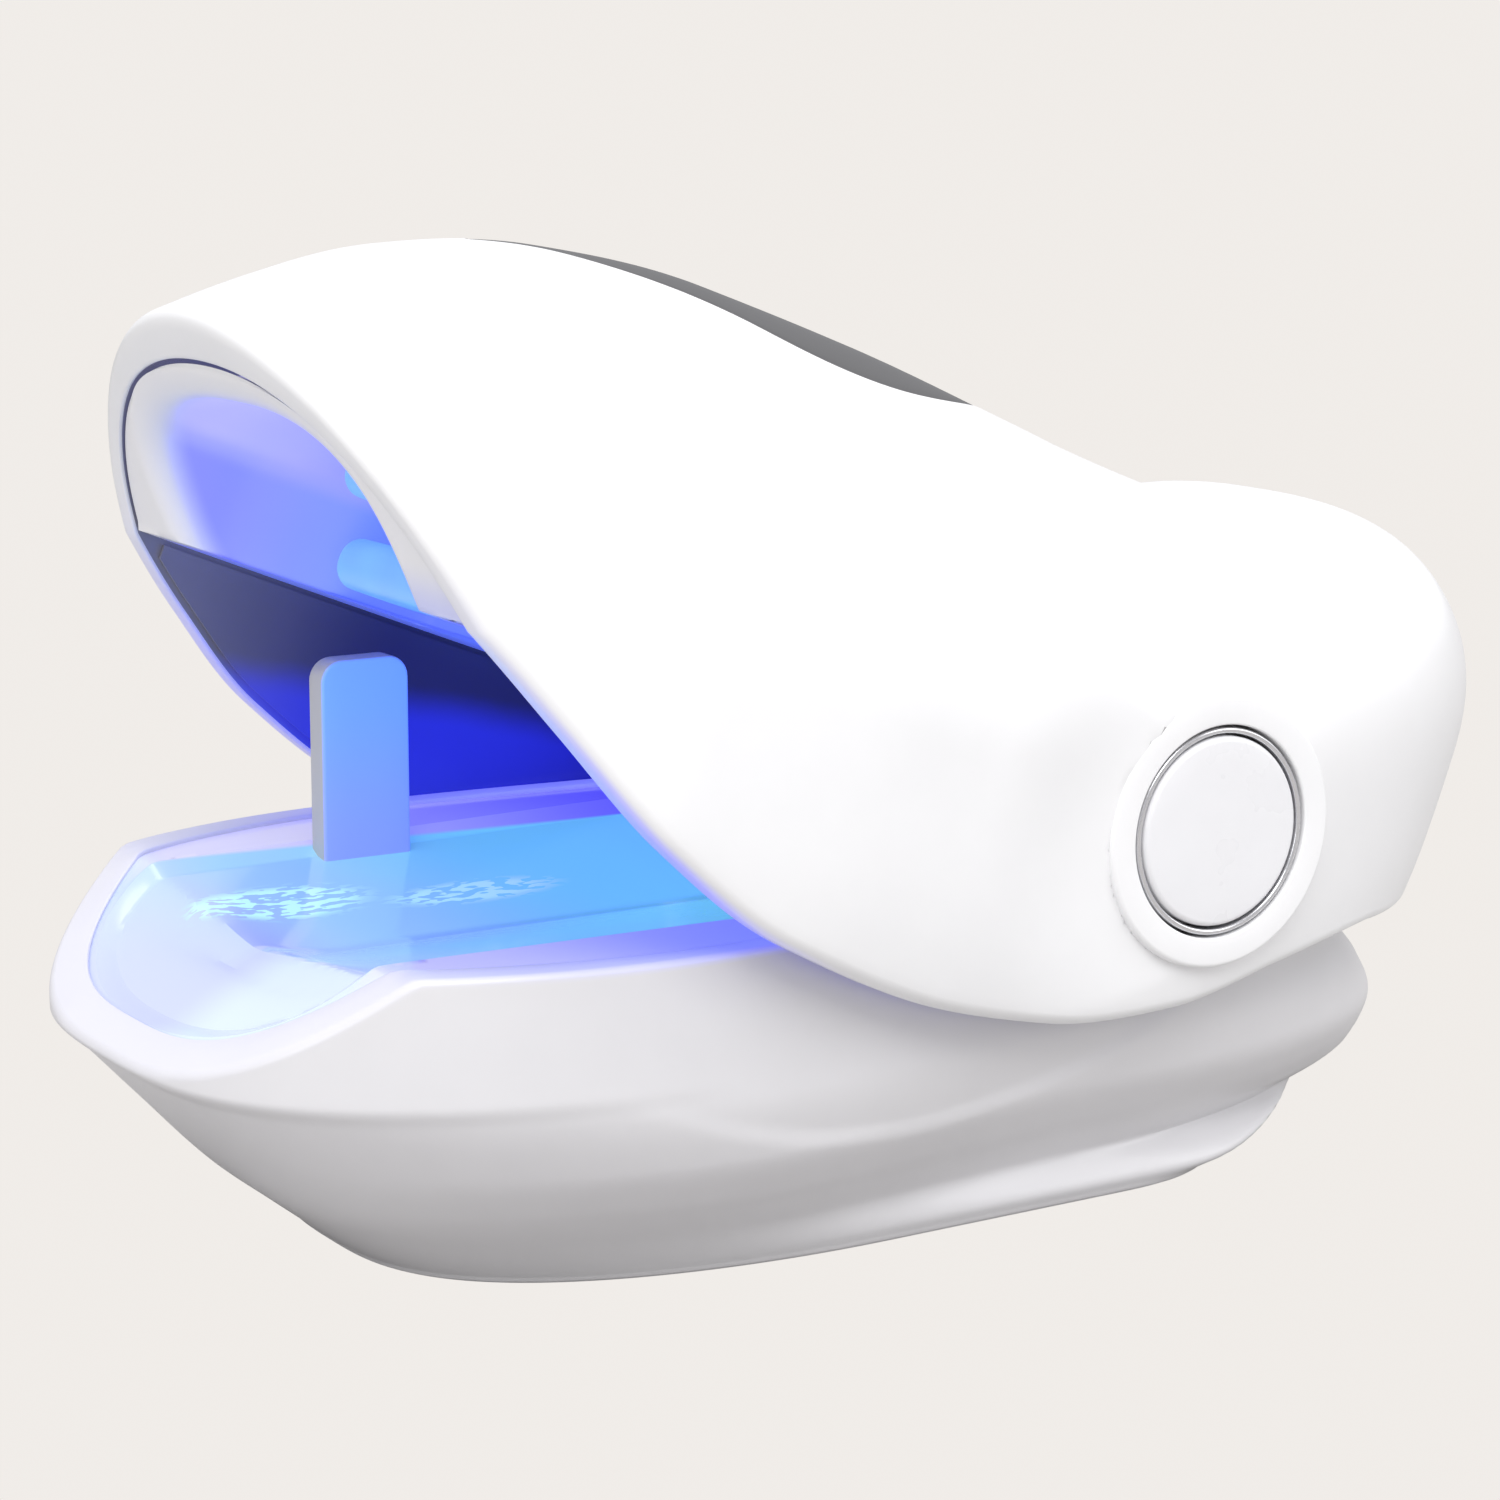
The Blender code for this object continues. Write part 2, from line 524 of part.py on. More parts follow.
def build_lid_hinge(axis, finishes):
    """The hinge frame, shaft, bosses' fittings and button switch, all carried by the lid."""
    axle = (HINGE_S, HINGE_H)
    frame = to_object("hinge_frame", box(
        FRAME_S0, FRAME_S1, -LEG_OUT_Y, LEG_OUT_Y, FRAME_Z, FRAME_Z + FRAME_THICK), finishes["dark"], axis)
    for side in (-1, 1):
        ends = sorted((side * LEG_IN_Y, side * LEG_OUT_Y))
        combine(frame, "UNION", box(
            HINGE_S - LEG_R, HINGE_S + LEG_R, *ends, HINGE_H, FRAME_Z + FRAME_THICK / 2), axis)
        combine(frame, "UNION", cylinder("Y", axle, LEG_R, *ends, segments=24), axis)
    hole(frame, "Y", axle, SHAFT_R + RUN_FIT, -LEG_OUT_Y - 1, LEG_OUT_Y + 1, axis)
    for side, name in ((-1, "frame_screw_left"), (1, "frame_screw_right")):
        station, y = FRAME_S0 + 4, side * 9.0
        hole(frame, "Z", (station, y), SCREW_R + FIT, FRAME_Z - 1, FRAME_Z + FRAME_THICK + 1, axis, 10)
        screw(name, finishes["steel"], axis, station, y, FRAME_Z - FIT, FRAME_Z + FRAME_THICK + 2)
    to_object("hinge_shaft", cylinder("Y", axle, SHAFT_R, -LEG_OUT_Y + 0.2, LEG_OUT_Y - 0.2),
              finishes["steel"], axis)

    for side, name in ((-1, "trim_ring_left"), (1, "trim_ring_right")):
        ends = sorted((side * (BORE_FLOOR_Y + 0.2), side * (BOSS_FACE_Y - 0.15)))
        to_object(name, ring_solid("Y", axle, RING_R, RING_R - RING_THICK, *ends, segments=40),
                  finishes["chrome"], axis)
    cap = (BOSS_FACE_Y - DISC_THICK, BOSS_FACE_Y)
    to_object("hinge_cap", cylinder("Y", axle, DISC_R, *cap, segments=40), finishes["shell"], axis)
    switch = to_object("tact_switch", box(
        HINGE_S - 2.4, HINGE_S + 2.4, -SWITCH_FACE_Y, -LEG_OUT_Y - FIT, HINGE_H - 2.4, HINGE_H + 2.4),
        finishes["dark"], axis)
    hole(switch, "Y", axle, PLUNGER_R + RUN_FIT, -SWITCH_FACE_Y - 1, -SWITCH_FACE_Y + 1.9, axis, 12)


def build_button(axis, finishes):
    """The power button in the near boss, which slides along the hinge axis."""
    axle = (HINGE_S, HINGE_H)
    disc = (-BOSS_FACE_Y, -BOSS_FACE_Y + DISC_THICK)
    button = to_object("power_button", cylinder("Y", axle, DISC_R, *disc, segments=40),
                       finishes["shell"], axis)
    combine(button, "UNION", cylinder("Y", axle, STEM_R, -BOSS_FACE_Y + 1, -STEM_END_Y, 12), axis)
    plunger = (-STEM_END_Y + 0.2, -SWITCH_FACE_Y + 1.9 - TRAVEL - FIT)
    to_object("switch_plunger", cylinder("Y", axle, PLUNGER_R, *plunger, segments=12),
              finishes["insert"], axis)


# ---- The base ----------------------------------------------------------------------------------------
def build_base(finishes):
    shell = to_object("base_shell", base_form(), finishes["shell"])
    combine(shell, "DIFFERENCE", base_form(WALL, INNER_LIFT, low=FOOT_Z - 1, high=9, steps=6))
    above = [*[(float(s), float(z)) for s, z in RIM_LINE], (100, 40), (-40, 40)]
    combine(shell, "DIFFERENCE", prism(above, -40, 40))
    floor = FOOT_Z + COVER_THICK
    for station, y in COVER_SCREWS:
        combine(shell, "UNION", cylinder("Z", (station, y * 1.08), 2.6, floor + FIT, -13.2, 14))
        hole(shell, "Z", (station, y), SCREW_R + FIT, floor - 1, floor + 4, segments=8)
    slot = SOCKET_SIZE[1] / 2 + FIT
    tail = float(through(TAIL, -14.0))
    combine(shell, "DIFFERENCE", rounded_box(
        tail - 6, tail + 2, -slot, slot, -14 - SOCKET_SIZE[2] / 2 - FIT, -14 + SOCKET_SIZE[2] / 2 + FIT, 1.4))

    stations = np.r_[np.linspace(-14, 6, 15), np.linspace(9, TRAY_END_S, 8)]
    across = np.array((-28, -19, -17, -15.4, -8, -1.4, 0, 1.4, 8, 15.4, 17, 19, 28)) / 28
    tray = to_object("tray", grid_at(stations, across, 28), finishes["tray"])
    combine(tray, "INTERSECT", base_form(WALL + FIT, INNER_LIFT, low=FOOT_Z - 1, high=9, steps=6))
    combine(tray, "DIFFERENCE", box(*tab_box(TAB_SLOT_FIT), -8, 2))
    build_tab(finishes)
    build_base_fittings(finishes)
    build_base_hinge(finishes)


def grid_at(stations, across, half):
    """The tray's blank, wider than the base, which is then trimmed to the cavity."""
    bm = grid_solid(
        stations, lambda s: np.full_like(s, half), tray_top,
        lambda s, y: tray_top(s, y) - TRAY_THICK, len(across))
    even = np.linspace(-1, 1, len(across))
    for vertex in bm.verts:
        share = float(np.interp(vertex.co.y / half, even, across))
        level = float(tray_top(np.float64(vertex.co.x), np.float64(vertex.co.y)))
        lower = vertex.co.z < level - TRAY_THICK / 2
        vertex.co.y = share * half
        vertex.co.z = float(tray_top(np.float64(vertex.co.x), np.float64(share * half))) - TRAY_THICK * lower
    return bm


def tab_box(margin=0.0):
    """Stations and widths of the tab's blade."""
    return (
        TAB_S - TAB_WIDE / 2 - margin, TAB_S + TAB_WIDE / 2 + margin,
        TAB_Y - TAB_THICK / 2 - margin, TAB_Y + TAB_THICK / 2 + margin,
    )


def build_tab(finishes):
    """The interlock tab: a blade with rounded top corners and a foot under the tray."""
    s0, s1, y0, y1 = tab_box()
    foot = -5.2
    turn = np.radians(np.linspace(0, 90, 5))
    right = [(s1 - TAB_CORNER + TAB_CORNER * math.cos(a),
              TAB_TOP - TAB_CORNER + TAB_CORNER * math.sin(a)) for a in turn]
    left = [(s0 + s1 - s, z) for s, z in reversed(right)]
    tab = to_object("interlock_tab", prism([(s0, foot), (s1, foot), *right, *left], y0, y1),
                    finishes["insert"])
    combine(tab, "UNION", box(s0 - 1.5, s1 + 1.5, y0 - 1.5, y1 + 1.2, foot - 1.2, foot + 0.4))


def build_base_fittings(finishes):
    floor = FOOT_Z + COVER_THICK
    cover_ring = WALL + FIT
    cover = to_object("bottom_cover", base_form(cover_ring, INNER_LIFT, steps=6), finishes["cover"])
    combine(cover, "INTERSECT", box(-20, 100, -40, 40, FOOT_Z, floor))
    posts = ((30.0, 12.2), (36.0, -12.2))
    for station, y in posts:
        combine(cover, "UNION", cylinder("Z", (station, y), 2.2, floor - 0.5, -12.6, 12))
        hole(cover, "Z", (station, y), SCREW_R + FIT, -16, -12, segments=10)
    corners = ((17.5, -8.8), (17.5, 8.8), (54.5, -11.0), (54.5, 11.0))
    for number, (station, y) in enumerate(corners, 1):
        hole(cover, "Z", (station, y), PAD_R + FIT, FOOT_Z - 1, FOOT_Z + PAD_THICK - PAD_PROUD + FIT)
        pad = (FOOT_Z - PAD_PROUD, FOOT_Z + PAD_THICK - PAD_PROUD)
        to_object(f"foot_pad_{number}", cylinder("Z", (station, y), PAD_R, *pad), finishes["rubber"])
    for number, (station, y) in enumerate(COVER_SCREWS, 1):
        hole(cover, "Z", (station, y), SCREW_HEAD_R + FIT, FOOT_Z - 1, FOOT_Z + SCREW_HEAD, segments=12)
        hole(cover, "Z", (station, y), SCREW_R + FIT, FOOT_Z - 1, floor + 1, segments=8)
        screw(f"cover_screw_{number}",
        finishes["steel"], None, station, y, FOOT_Z + SCREW_HEAD - FIT, floor + 3)

    length, width, thick = CELL_SIZE
    to_object("battery_cell", rounded_box(
        14, 14 + length, -width / 2 + 1, width / 2 - 1, floor + FIT, floor + FIT + thick, 0.8, 2),
        finishes["cell"])
    board = to_object("main_board", box(12, 45.5, -14, 14, -12.3, -12.3 + BOARD_THICK), finishes["board"])
    for number, (station, y) in enumerate(posts, 1):
        hole(board, "Z", (station, y), SCREW_R + FIT, -13, -10, segments=10)
        screw(f"board_screw_{number}", finishes["steel"], None, station, y, -12.3 + BOARD_THICK + FIT, -15.4)

    long, wide, high = SOCKET_SIZE
    end = float(through(TAIL, -14.0)) - 0.8
    socket = to_object("charging_socket", rounded_box(
        end - long, end, -wide / 2, wide / 2, -14 - high / 2, -14 + high / 2, 1.3), finishes["steel"])
    combine(socket, "DIFFERENCE", rounded_box(
        end - long + 1, end + 3, -wide / 2 + 0.4, wide / 2 - 0.4, -14 - high / 2 + 0.4, -14 + high / 2 - 0.4, 0.9))
    combine(socket, "UNION", box(end - long + 0.5, end - 1, -3.3, 3.3, -14.35, -13.65))
    to_object("charge_board", box(
        end - 16, end - 5, -5.8, 5.8, -14 + high / 2 + FIT, -14 + high / 2 + FIT + 1), finishes["board"])


def build_base_hinge(finishes):
    """The pedestal that rises through the base to carry the shaft, with its bushes and washers."""
    axle = (HINGE_S, HINGE_H)
    floor = FOOT_Z + COVER_THICK + FIT
    pedestal = to_object("hinge_pedestal", box(
        HINGE_S - 6.2, HINGE_S + 1.6, -EAR_OUT_Y, EAR_OUT_Y, floor, floor + 2), finishes["dark"])
    ear_r = LEG_R + 0.8
    ear = [(HINGE_S - 6.2, floor), (HINGE_S + 1.6, floor), (HINGE_S + ear_r, HINGE_H - 8),
           (HINGE_S + ear_r, HINGE_H), (HINGE_S - ear_r, HINGE_H), (HINGE_S - 6.2, HINGE_H - 10)]
    for side in (-1, 1):
        ends = sorted((side * EAR_IN_Y, side * EAR_OUT_Y))
        combine(pedestal, "UNION", prism(ear, *ends))
        combine(pedestal, "UNION", cylinder("Y", axle, ear_r, *ends, segments=24))
    hole(pedestal, "Y", axle, BUSH_R + FIT, -EAR_OUT_Y - 1, EAR_OUT_Y + 1)
    for side, name in ((-1, "pedestal_screw_left"), (1, "pedestal_screw_right")):
        y = side * 4.5
        station = HINGE_S - 2.4
        hole(pedestal, "Z", (station, y), SCREW_R + FIT, floor - 1, floor + 3, segments=8)
        hole(bpy.data.objects["bottom_cover"], "Z", (station, y), SCREW_R + FIT, FOOT_Z + 0.5, floor + 1, segments=8)
        screw(name, finishes["steel"], None, station, y, floor + 2 + FIT, FOOT_Z + 0.8)
    for side, name in ((-1, "left"), (1, "right")):
        ends = sorted((side * EAR_IN_Y, side * EAR_OUT_Y))
        to_object(f"hinge_bush_{name}", ring_solid("Y", axle, BUSH_R, SHAFT_R + RUN_FIT, *ends),
                  finishes["brass"])
        ends = sorted((side * (EAR_OUT_Y + 0.2), side * (EAR_OUT_Y + 0.2 + WASHER_THICK)))
        to_object(f"friction_washer_{name}", ring_solid("Y", axle, 4.2, SHAFT_R + RUN_FIT, *ends),
                  finishes["rubber"])


def main():
    for obj in list(bpy.data.objects):
        bpy.data.objects.remove(obj)
    finishes = {
        "shell": finish("shell", (0.90, 0.90, 0.91), 0.32),
        "insert": finish("insert", (0.80, 0.80, 0.83), 0.35),
        "tray": finish("tray", (0.82, 0.85, 0.93), 0.25),
        "liner": finish("liner", (0.10, 0.10, 0.17), 0.30),
        "window": finish("window", (0.03, 0.03, 0.035), 0.12),
        "light_bar": finish("light_bar", (0.35, 0.62, 1.0), 0.25, 0.0, 0.4, (0.15, 0.40, 1.0)),
        "led": finish("led", (0.55, 0.60, 1.0), 0.3, 0.0, 0.0, (0.20, 0.25, 1.0)),
        "chrome": finish("chrome", (0.62, 0.62, 0.64), 0.15, 1.0),
        "steel": finish("steel", (0.55, 0.55, 0.57), 0.3, 1.0),
        "brass": finish("brass", (0.72, 0.56, 0.28), 0.35, 1.0),
        "board": finish("board", (0.05, 0.22, 0.12), 0.5),
        "dark": finish("dark", (0.06, 0.06, 0.07), 0.5),
        "cell": finish("cell", (0.45, 0.47, 0.50), 0.4, 0.6),
        "rubber": finish("rubber", (0.12, 0.12, 0.13), 0.8),
        "cover": finish("cover", (0.62, 0.62, 0.65), 0.45),
    }
    axis = bpy.data.objects.new("lid_axis", None)
    bpy.context.scene.collection.objects.link(axis)
    axis.location = place((HINGE_S, 0, HINGE_H))
    build_base(finishes)
    build_lid(axis, finishes)
    build_button(axis, finishes)
    axis.rotation_euler = (0, math.radians(OPEN_DEG), 0)


main()
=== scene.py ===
"""Looks of a hinged clamshell light sanitizer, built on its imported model.

Sizes are millimetres. Stations run back from the corners of the mouth, y runs across, and heights run up
from the rim of the base. The lid's pieces are drawn closed and then turned open about the hinge.
"""

import logging
import math
from collections.abc import Callable, Sequence
from dataclasses import dataclass, field
from enum import Enum

import bmesh
import bpy
import numpy as np
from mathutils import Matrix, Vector


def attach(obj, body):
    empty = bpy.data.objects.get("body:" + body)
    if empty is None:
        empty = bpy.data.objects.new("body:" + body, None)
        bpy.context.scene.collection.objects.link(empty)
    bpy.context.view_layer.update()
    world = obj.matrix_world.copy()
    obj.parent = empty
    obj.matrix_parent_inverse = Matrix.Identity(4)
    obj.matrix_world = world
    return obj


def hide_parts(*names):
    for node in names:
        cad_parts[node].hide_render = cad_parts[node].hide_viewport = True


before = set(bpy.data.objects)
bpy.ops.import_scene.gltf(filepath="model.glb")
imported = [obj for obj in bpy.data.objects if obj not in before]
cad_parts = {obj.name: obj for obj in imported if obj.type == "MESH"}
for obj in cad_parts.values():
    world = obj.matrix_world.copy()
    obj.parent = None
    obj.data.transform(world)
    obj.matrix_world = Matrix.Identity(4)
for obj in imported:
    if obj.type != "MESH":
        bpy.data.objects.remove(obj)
log = logging.getLogger("sanitizer")

MM = 0.001
MOUTH_X, RIM_Z = -40.8, 22.9
HINGE_S, HINGE_H = 53.6, 3.65
OPEN_DEG = 21.8
WALL, FIT = 2.3, 0.3
FIRST_ARCH, LAST_ARCH = 0.0, 74.0
# The mouth's face leans back by the first share of its height; the second turns a level distance from it
# into one square to it.
FACE_LEAN, FACE_SQUARE = 0.985, 0.7125
FACE_DEG, CORNER_SLOPE, TAIL_DEG = 45.43, 0.633, 15.1
WELD, SHARP_DEG = 2e-7, 40.0
BLACK = (0.0, 0.0, 0.0)
SIDES = ((-1, "left"), (1, "right"))
Array = np.ndarray
MIRROR = np.array((1, -1, 1))


# ---- Curves and forms --------------------------------------------------------------------------------
@dataclass(frozen=True)
class Curve:
    """A smooth curve through (place, value) points that adds no bumps of its own."""

    points: tuple[tuple[float, float], ...]

    def __call__(self, at: Array | float) -> Array:
        """Reads the curve: cubic pieces whose slopes are the harmonic mean of their neighbours' slopes.

        Args:
            at: One place or many.
        Returns:
            The values there, held level beyond the ends.
        """
        place, value = np.array(self.points, float).T
        step = np.diff(place)
        rise = np.diff(value) / step
        slope = np.r_[rise[0], np.zeros(len(rise) - 1), rise[-1]]
        same = rise[:-1] * rise[1:] > 0
        both = np.where(same, rise[:-1] + rise[1:], 1.0)
        slope[1:-1] = np.where(same, 2 * rise[:-1] * rise[1:] / both, 0.0)
        at = np.clip(np.asarray(at, float), place[0], place[-1])
        i = np.clip(np.searchsorted(place, at, side="right") - 1, 0, len(step) - 1)
        t = (at - place[i]) / step[i]
        rest = 1 - t
        ends = value[i] * (1 + 2 * t) * rest**2 + value[i + 1] * (1 + 2 * rest) * t**2
        return ends + step[i] * (slope[i] * t * rest**2 - slope[i + 1] * t**2 * rest)


def ease(t: Array | float) -> Array:
    """A smooth step from 0 to 1: 3 t squared less 2 t cubed."""
    t = np.clip(t, 0, 1)
    return t * t * (3 - 2 * t)


def closing(station: Array, start: float, end: float, power: float) -> Array:
    """1 up to the start, then the root of 1 less t to the power, reaching 0 at the end."""
    t = np.clip((station - start) / (end - start), 0, 1)
    return np.sqrt(np.maximum(1 - t**power, 0))


def dip(station: Array) -> Array:
    """Fall of the rim in front of the mouth's corners: 0.7 for each unit, with a soft start."""
    return 0.35 * (station - np.sqrt(station**2 + 0.08))


@dataclass(frozen=True)
class LidForm:
    """The lid's closed form: squarish rings at each station whose sizes follow smooth curves."""

    end: float = 89.5
    ridge: Curve = Curve(((-14, 11.8), (-6, 17.9), (0, 21.7), (8, 24.7), (18, 26.2), (30, 26.4),
                          (42, 26.0), (54, 25.4), (60, 25.2), (66, 27.2), (71, 29.2), (76, 29.9),
                          (80, 30.0)))
    plan: Curve = Curve(((-14, 11.8), (-8, 18.5), (0, 25.4), (6, 27.8), (14, 29.5), (24, 29.85),
                         (35, 29.2), (48, 28.1), (58, 27.2)))
    skirt: Curve = Curve(((0, 0), (6, -3.8), (14, -8.3), (24, -11.4), (35, -12.3), (46, -11.2),
                          (56, -7.8), (64, -3.0), (74, 1.6), (84, 4.3), (96, 7.54)))
    lean: Curve = Curve(((0, 134.57), (14, 108), (35, 90), (52, 76), (64, 52), (70, 32), (74, 15.1)))
    top_power: float = 2.7
    nose_power: float = 2.05
    brow: float = 0.9
    skin: float = 0.05
    low_power: float = 3.4
    depth: float = 30.0

    def sizes(self, station: Array, inset: float) -> tuple[Array, Array, Array, Array]:
        """Height of the widest line, rise above it, half width, and depth below it."""
        inset = inset + self.skin
        end = self.end - inset
        widest = 2.5 + 13.0 * np.clip((station - 20) / (end - 20), 0, 1) ** 1.6
        thick = inset * (1 + self.brow * (1 - ease((station + 14) / 18)))
        rise = (self.ridge(station) - thick - widest) * closing(station, 70, end, 2.0)
        half = (self.plan(station) - inset) * closing(station, 56, end, 1.7)
        depth = (self.depth - inset) * closing(station, 52, end, 2.0)
        return widest, rise, half, depth

    def power(self, station: Array) -> Array:
        """Squareness of the ring above its widest line: rounder from the mouth to the display's end."""
        return self.nose_power + (self.top_power - self.nose_power) * ease((station - 46) / 16)

    def level(self, station: Array, height: Array, inset: float) -> Array:
        """How far out a height lies in its ring: 0 at the widest line and 1 at the ridge or the keel."""
        widest, rise, _, depth = self.sizes(station, inset)
        reach = np.where(height >= widest, rise, depth)
        return np.abs(height - widest) / np.maximum(reach, 1e-6)

    def half(self, station: Array, height: Array, inset: float = 0.0) -> Array:
        """Half width: the ring's half width times (1 - level^p)^(1/p)."""
        widest, _, half, _ = self.sizes(station, inset)
        level = np.clip(self.level(station, height, inset), 0, 1)
        power = np.where(height >= widest, self.power(station), self.low_power)
        return half * np.maximum(1 - level**power, 0) ** (1 / power)

    def top(self, station: Array, y: Array, inset: float = 0.0) -> Array:
        """Height of the upper skin over a station and a width."""
        widest, rise, half, _ = self.sizes(station, inset)
        share = np.clip(np.abs(y) / np.maximum(half, 1e-6), 0, 1)
        power = self.power(station)
        return widest + rise * (1 - share**power) ** (1 / power)

    def edge(self, station: Array, lift: float) -> Array:
        """The shell's edge in side view, moved into the lid by a lift along its own normal."""
        beside = self.skirt(np.r_[station - 0.2, station + 0.2]).reshape(2, -1)
        near = (beside[1] - beside[0]) / 0.4
        slant = np.arctan(near)
        # At the corner the edge turns into the mouth's face, and at the tail into its last line.
        corner, face = math.atan(CORNER_SLOPE), math.radians(FACE_DEG)
        slant = np.where(station <= FIRST_ARCH, -(corner + face) / 2, slant)
        slant = np.where(station >= LAST_ARCH, math.radians(TAIL_DEG), slant)
        reach = np.where(station <= FIRST_ARCH, lift / math.cos((face - corner) / 2), lift)
        return np.stack((station - np.sin(slant) * reach, self.skirt(station) + np.cos(slant) * reach), -1)

    def rings(self, station: Array, inset: float, lift: float, half_count: int) -> Array:
        """Arches over the lid, each in a plane that leans as the lean curve says.

        Args:
            station: Where each arch starts on the shell's edge.
            inset: How far inside the outer form.
            lift: How far above the shell's edge.
            half_count: Steps from the edge to the ridge.
        Returns:
            Points of shape (arches, 2 * half_count + 1, 3), from the near edge over the top to the far one.
        """
        start = self.edge(station, lift)
        turn = np.radians(self.lean(station))
        way = np.stack((np.cos(turn), np.sin(turn)), -1)

        def outside(reach: Array) -> Array:
            """True where a point that far along its line has left the form."""
            at = start[:, None] + way[:, None] * reach[..., None]
            return (self.level(at[..., 0], at[..., 1], inset) > 1) | (at[..., 0] > self.end - inset)

        trial = np.broadcast_to(np.linspace(0.5, 70, 280), (len(station), 280))
        first = np.argmax(outside(trial), axis=1)
        high = np.take_along_axis(trial, first[:, None], 1)
        low = high - 0.25
        for _ in range(30):
            middle = (low + high) / 2
            out = outside(middle)
            low, high = np.where(out, low, middle), np.where(out, middle, high)
        fine = 1 - (1 - np.linspace(0, 1, 420)) ** 2.7
        at = start[:, None] + way[:, None] * (low * fine)[..., None]
        y = self.half(at[..., 0], at[..., 1], inset)
        y[:, -1] = 0
        path = np.stack((at[..., 0], y, at[..., 1]), -1)
        run = np.linalg.norm(np.diff(path, axis=1), axis=2).cumsum(axis=1)
        run = np.c_[np.zeros(len(run)), run]
        want = np.linspace(0, 1, half_count + 1)
        rows = [[np.interp(want * r[-1], r, p[:, k]) for k in range(3)] for r, p in zip(run, path)]
        far = np.array(rows).transpose(0, 2, 1)
        return np.concatenate((far * MIRROR, far[:, -2::-1]), axis=1)


@dataclass(frozen=True)
class BaseForm:
    """The base's form: a waterline at each height with a rounded bow and a rounded tail."""

    bow: Curve = Curve(((-22.5, 4.5), (-19.4, 0.6), (-17.2, -2.1), (-13, -6.0), (-9, -9.7), (-7.7, -11),
                        (10, -11)))
    plan: Curve = Curve(((-22.5, 18.8), (-19.5, 20.3), (-17.5, 21.7), (-16, 22.9), (-13, 24.8), (-9, 25.6),
                         (-5, 25.6), (0, 25.5), (10, 25.2)))
    tail: Curve = Curve(((-22.5, 64), (-21.3, 69), (-20, 78), (-19, 83), (-17.5, 86.3), (-15, 87),
                         (-12, 85.4), (-8.5, 82.6), (-4, 82.2), (0, 82.6), (10, 83.2)))
    rear_rim: Curve = Curve(((0, 0), (58, 0), (66, 1.6), (74, 5.4), (80, 7.0), (100, 7.0)))
    bow_run: float = 30.0
    bow_back: float = 0.40
    tail_ahead: float = 0.12
    waist: float = 0.11
    foot: float = -22.5

    def rim(self, station: Array) -> Array:
        """Height of the rim: level, falling in front of the mouth's corners and rising to the rear."""
        return np.where(station < 20, dip(station), self.rear_rim(station))

    def shares(self, height: Array) -> tuple[Array, Array, Array]:
        """How much of the foot shows at a height, and the length and power of the tail's rounding."""
        foot = ease((-19 - height) / 2.5)
        return foot, 34.0 - 22.0 * foot, 1.8 + 1.2 * foot

    def ring(self, place: Array, height: Array, inset: float) -> Array:
        """Points of one side of a waterline.

        Args:
            place: 0 at the bow to 3 at the tail: 0 to 1 rounds the bow, 2 to 3 rounds the tail.
            height: Height of each point.
            inset: How far inside the outer form.
        Returns:
            Points (..., 3) with y positive.
        """
        bow = self.bow(height) + inset + self.bow_back
        tail = self.tail(height) - inset - self.tail_ahead
        foot, run, power = self.shares(height)
        wide = np.sin(np.clip(place, 0, 1) * math.pi / 2)
        front = bow + self.bow_run * (1 - np.sqrt(1 - wide**3))
        back = np.cos(np.clip(place - 2, 0, 1) * math.pi / 2)
        rear = tail - run + run * np.maximum(1 - back ** (2 + foot), 0) ** (1 / power)
        middle = np.clip(place - 1, 0, 1)
        station = np.where(place <= 1, front, np.where(
            place >= 2, rear, (bow + self.bow_run) * (1 - middle) + (tail - run) * middle))
        y = (self.plan(height) - inset) * wide * back
        y = y * (1 - self.waist * (1 - foot) * ease((station - 18) / 34))
        return np.stack((station, y, np.broadcast_to(height, station.shape)), -1)

    def rim_height(self, place: Array, inset: float, drop: float) -> Array:
        """Height at which each line of the wall meets the rim, by halving the interval."""
        low, high = np.full(place.shape, -14.0), np.full(place.shape, 9.0)
        for _ in range(40):
            middle = (low + high) / 2
            station = self.ring(place, middle, inset)[..., 0]
            slope = np.where(station < 0, 0.7, 0.0)
            above = middle > self.rim(station) - drop * np.sqrt(1 + slope**2)
            low, high = np.where(above, low, middle), np.where(above, middle, high)
        return (low + high) / 2

    def half(self, station: Array, height: Array, inset: float) -> Array:
        """Half width at a station and a height, for stations ahead of the tail."""
        bow = self.bow(height) + inset
        front = (1 - (1 - np.clip((station - bow) / self.bow_run, 0, 1)) ** 2) ** (1 / 3)
        return (self.plan(height) - inset) * front * (1 - self.waist * ease((station - 18) / 34))


LID, BASE = LidForm(), BaseForm()


def to_world(points: Array, lid: bool) -> Array:
    """World metres from stations, widths and heights; the lid's points are turned open first."""
    points = np.asarray(points, float)
    s, y, h = points[..., 0] - HINGE_S, points[..., 1], points[..., 2] - HINGE_H
    if lid:
        turn = math.radians(OPEN_DEG)
        s, h = s * math.cos(turn) + h * math.sin(turn), h * math.cos(turn) - s * math.sin(turn)
    return np.stack((s + HINGE_S + MOUTH_X, y, h + HINGE_H + RIM_Z), -1) * MM


def closed(x: "Array | Wire", z: "Array | Wire") -> tuple["Array | Wire", "Array | Wire"]:
    """Station and height in the lid's closed frame, from world millimetres as arrays or as wires."""
    s, h = x - (HINGE_S + MOUTH_X), z - (HINGE_H + RIM_Z)
    turn = math.radians(OPEN_DEG)
    s, h = s * math.cos(turn) - h * math.sin(turn), s * math.sin(turn) + h * math.cos(turn)
    return s + HINGE_S, h + HINGE_H


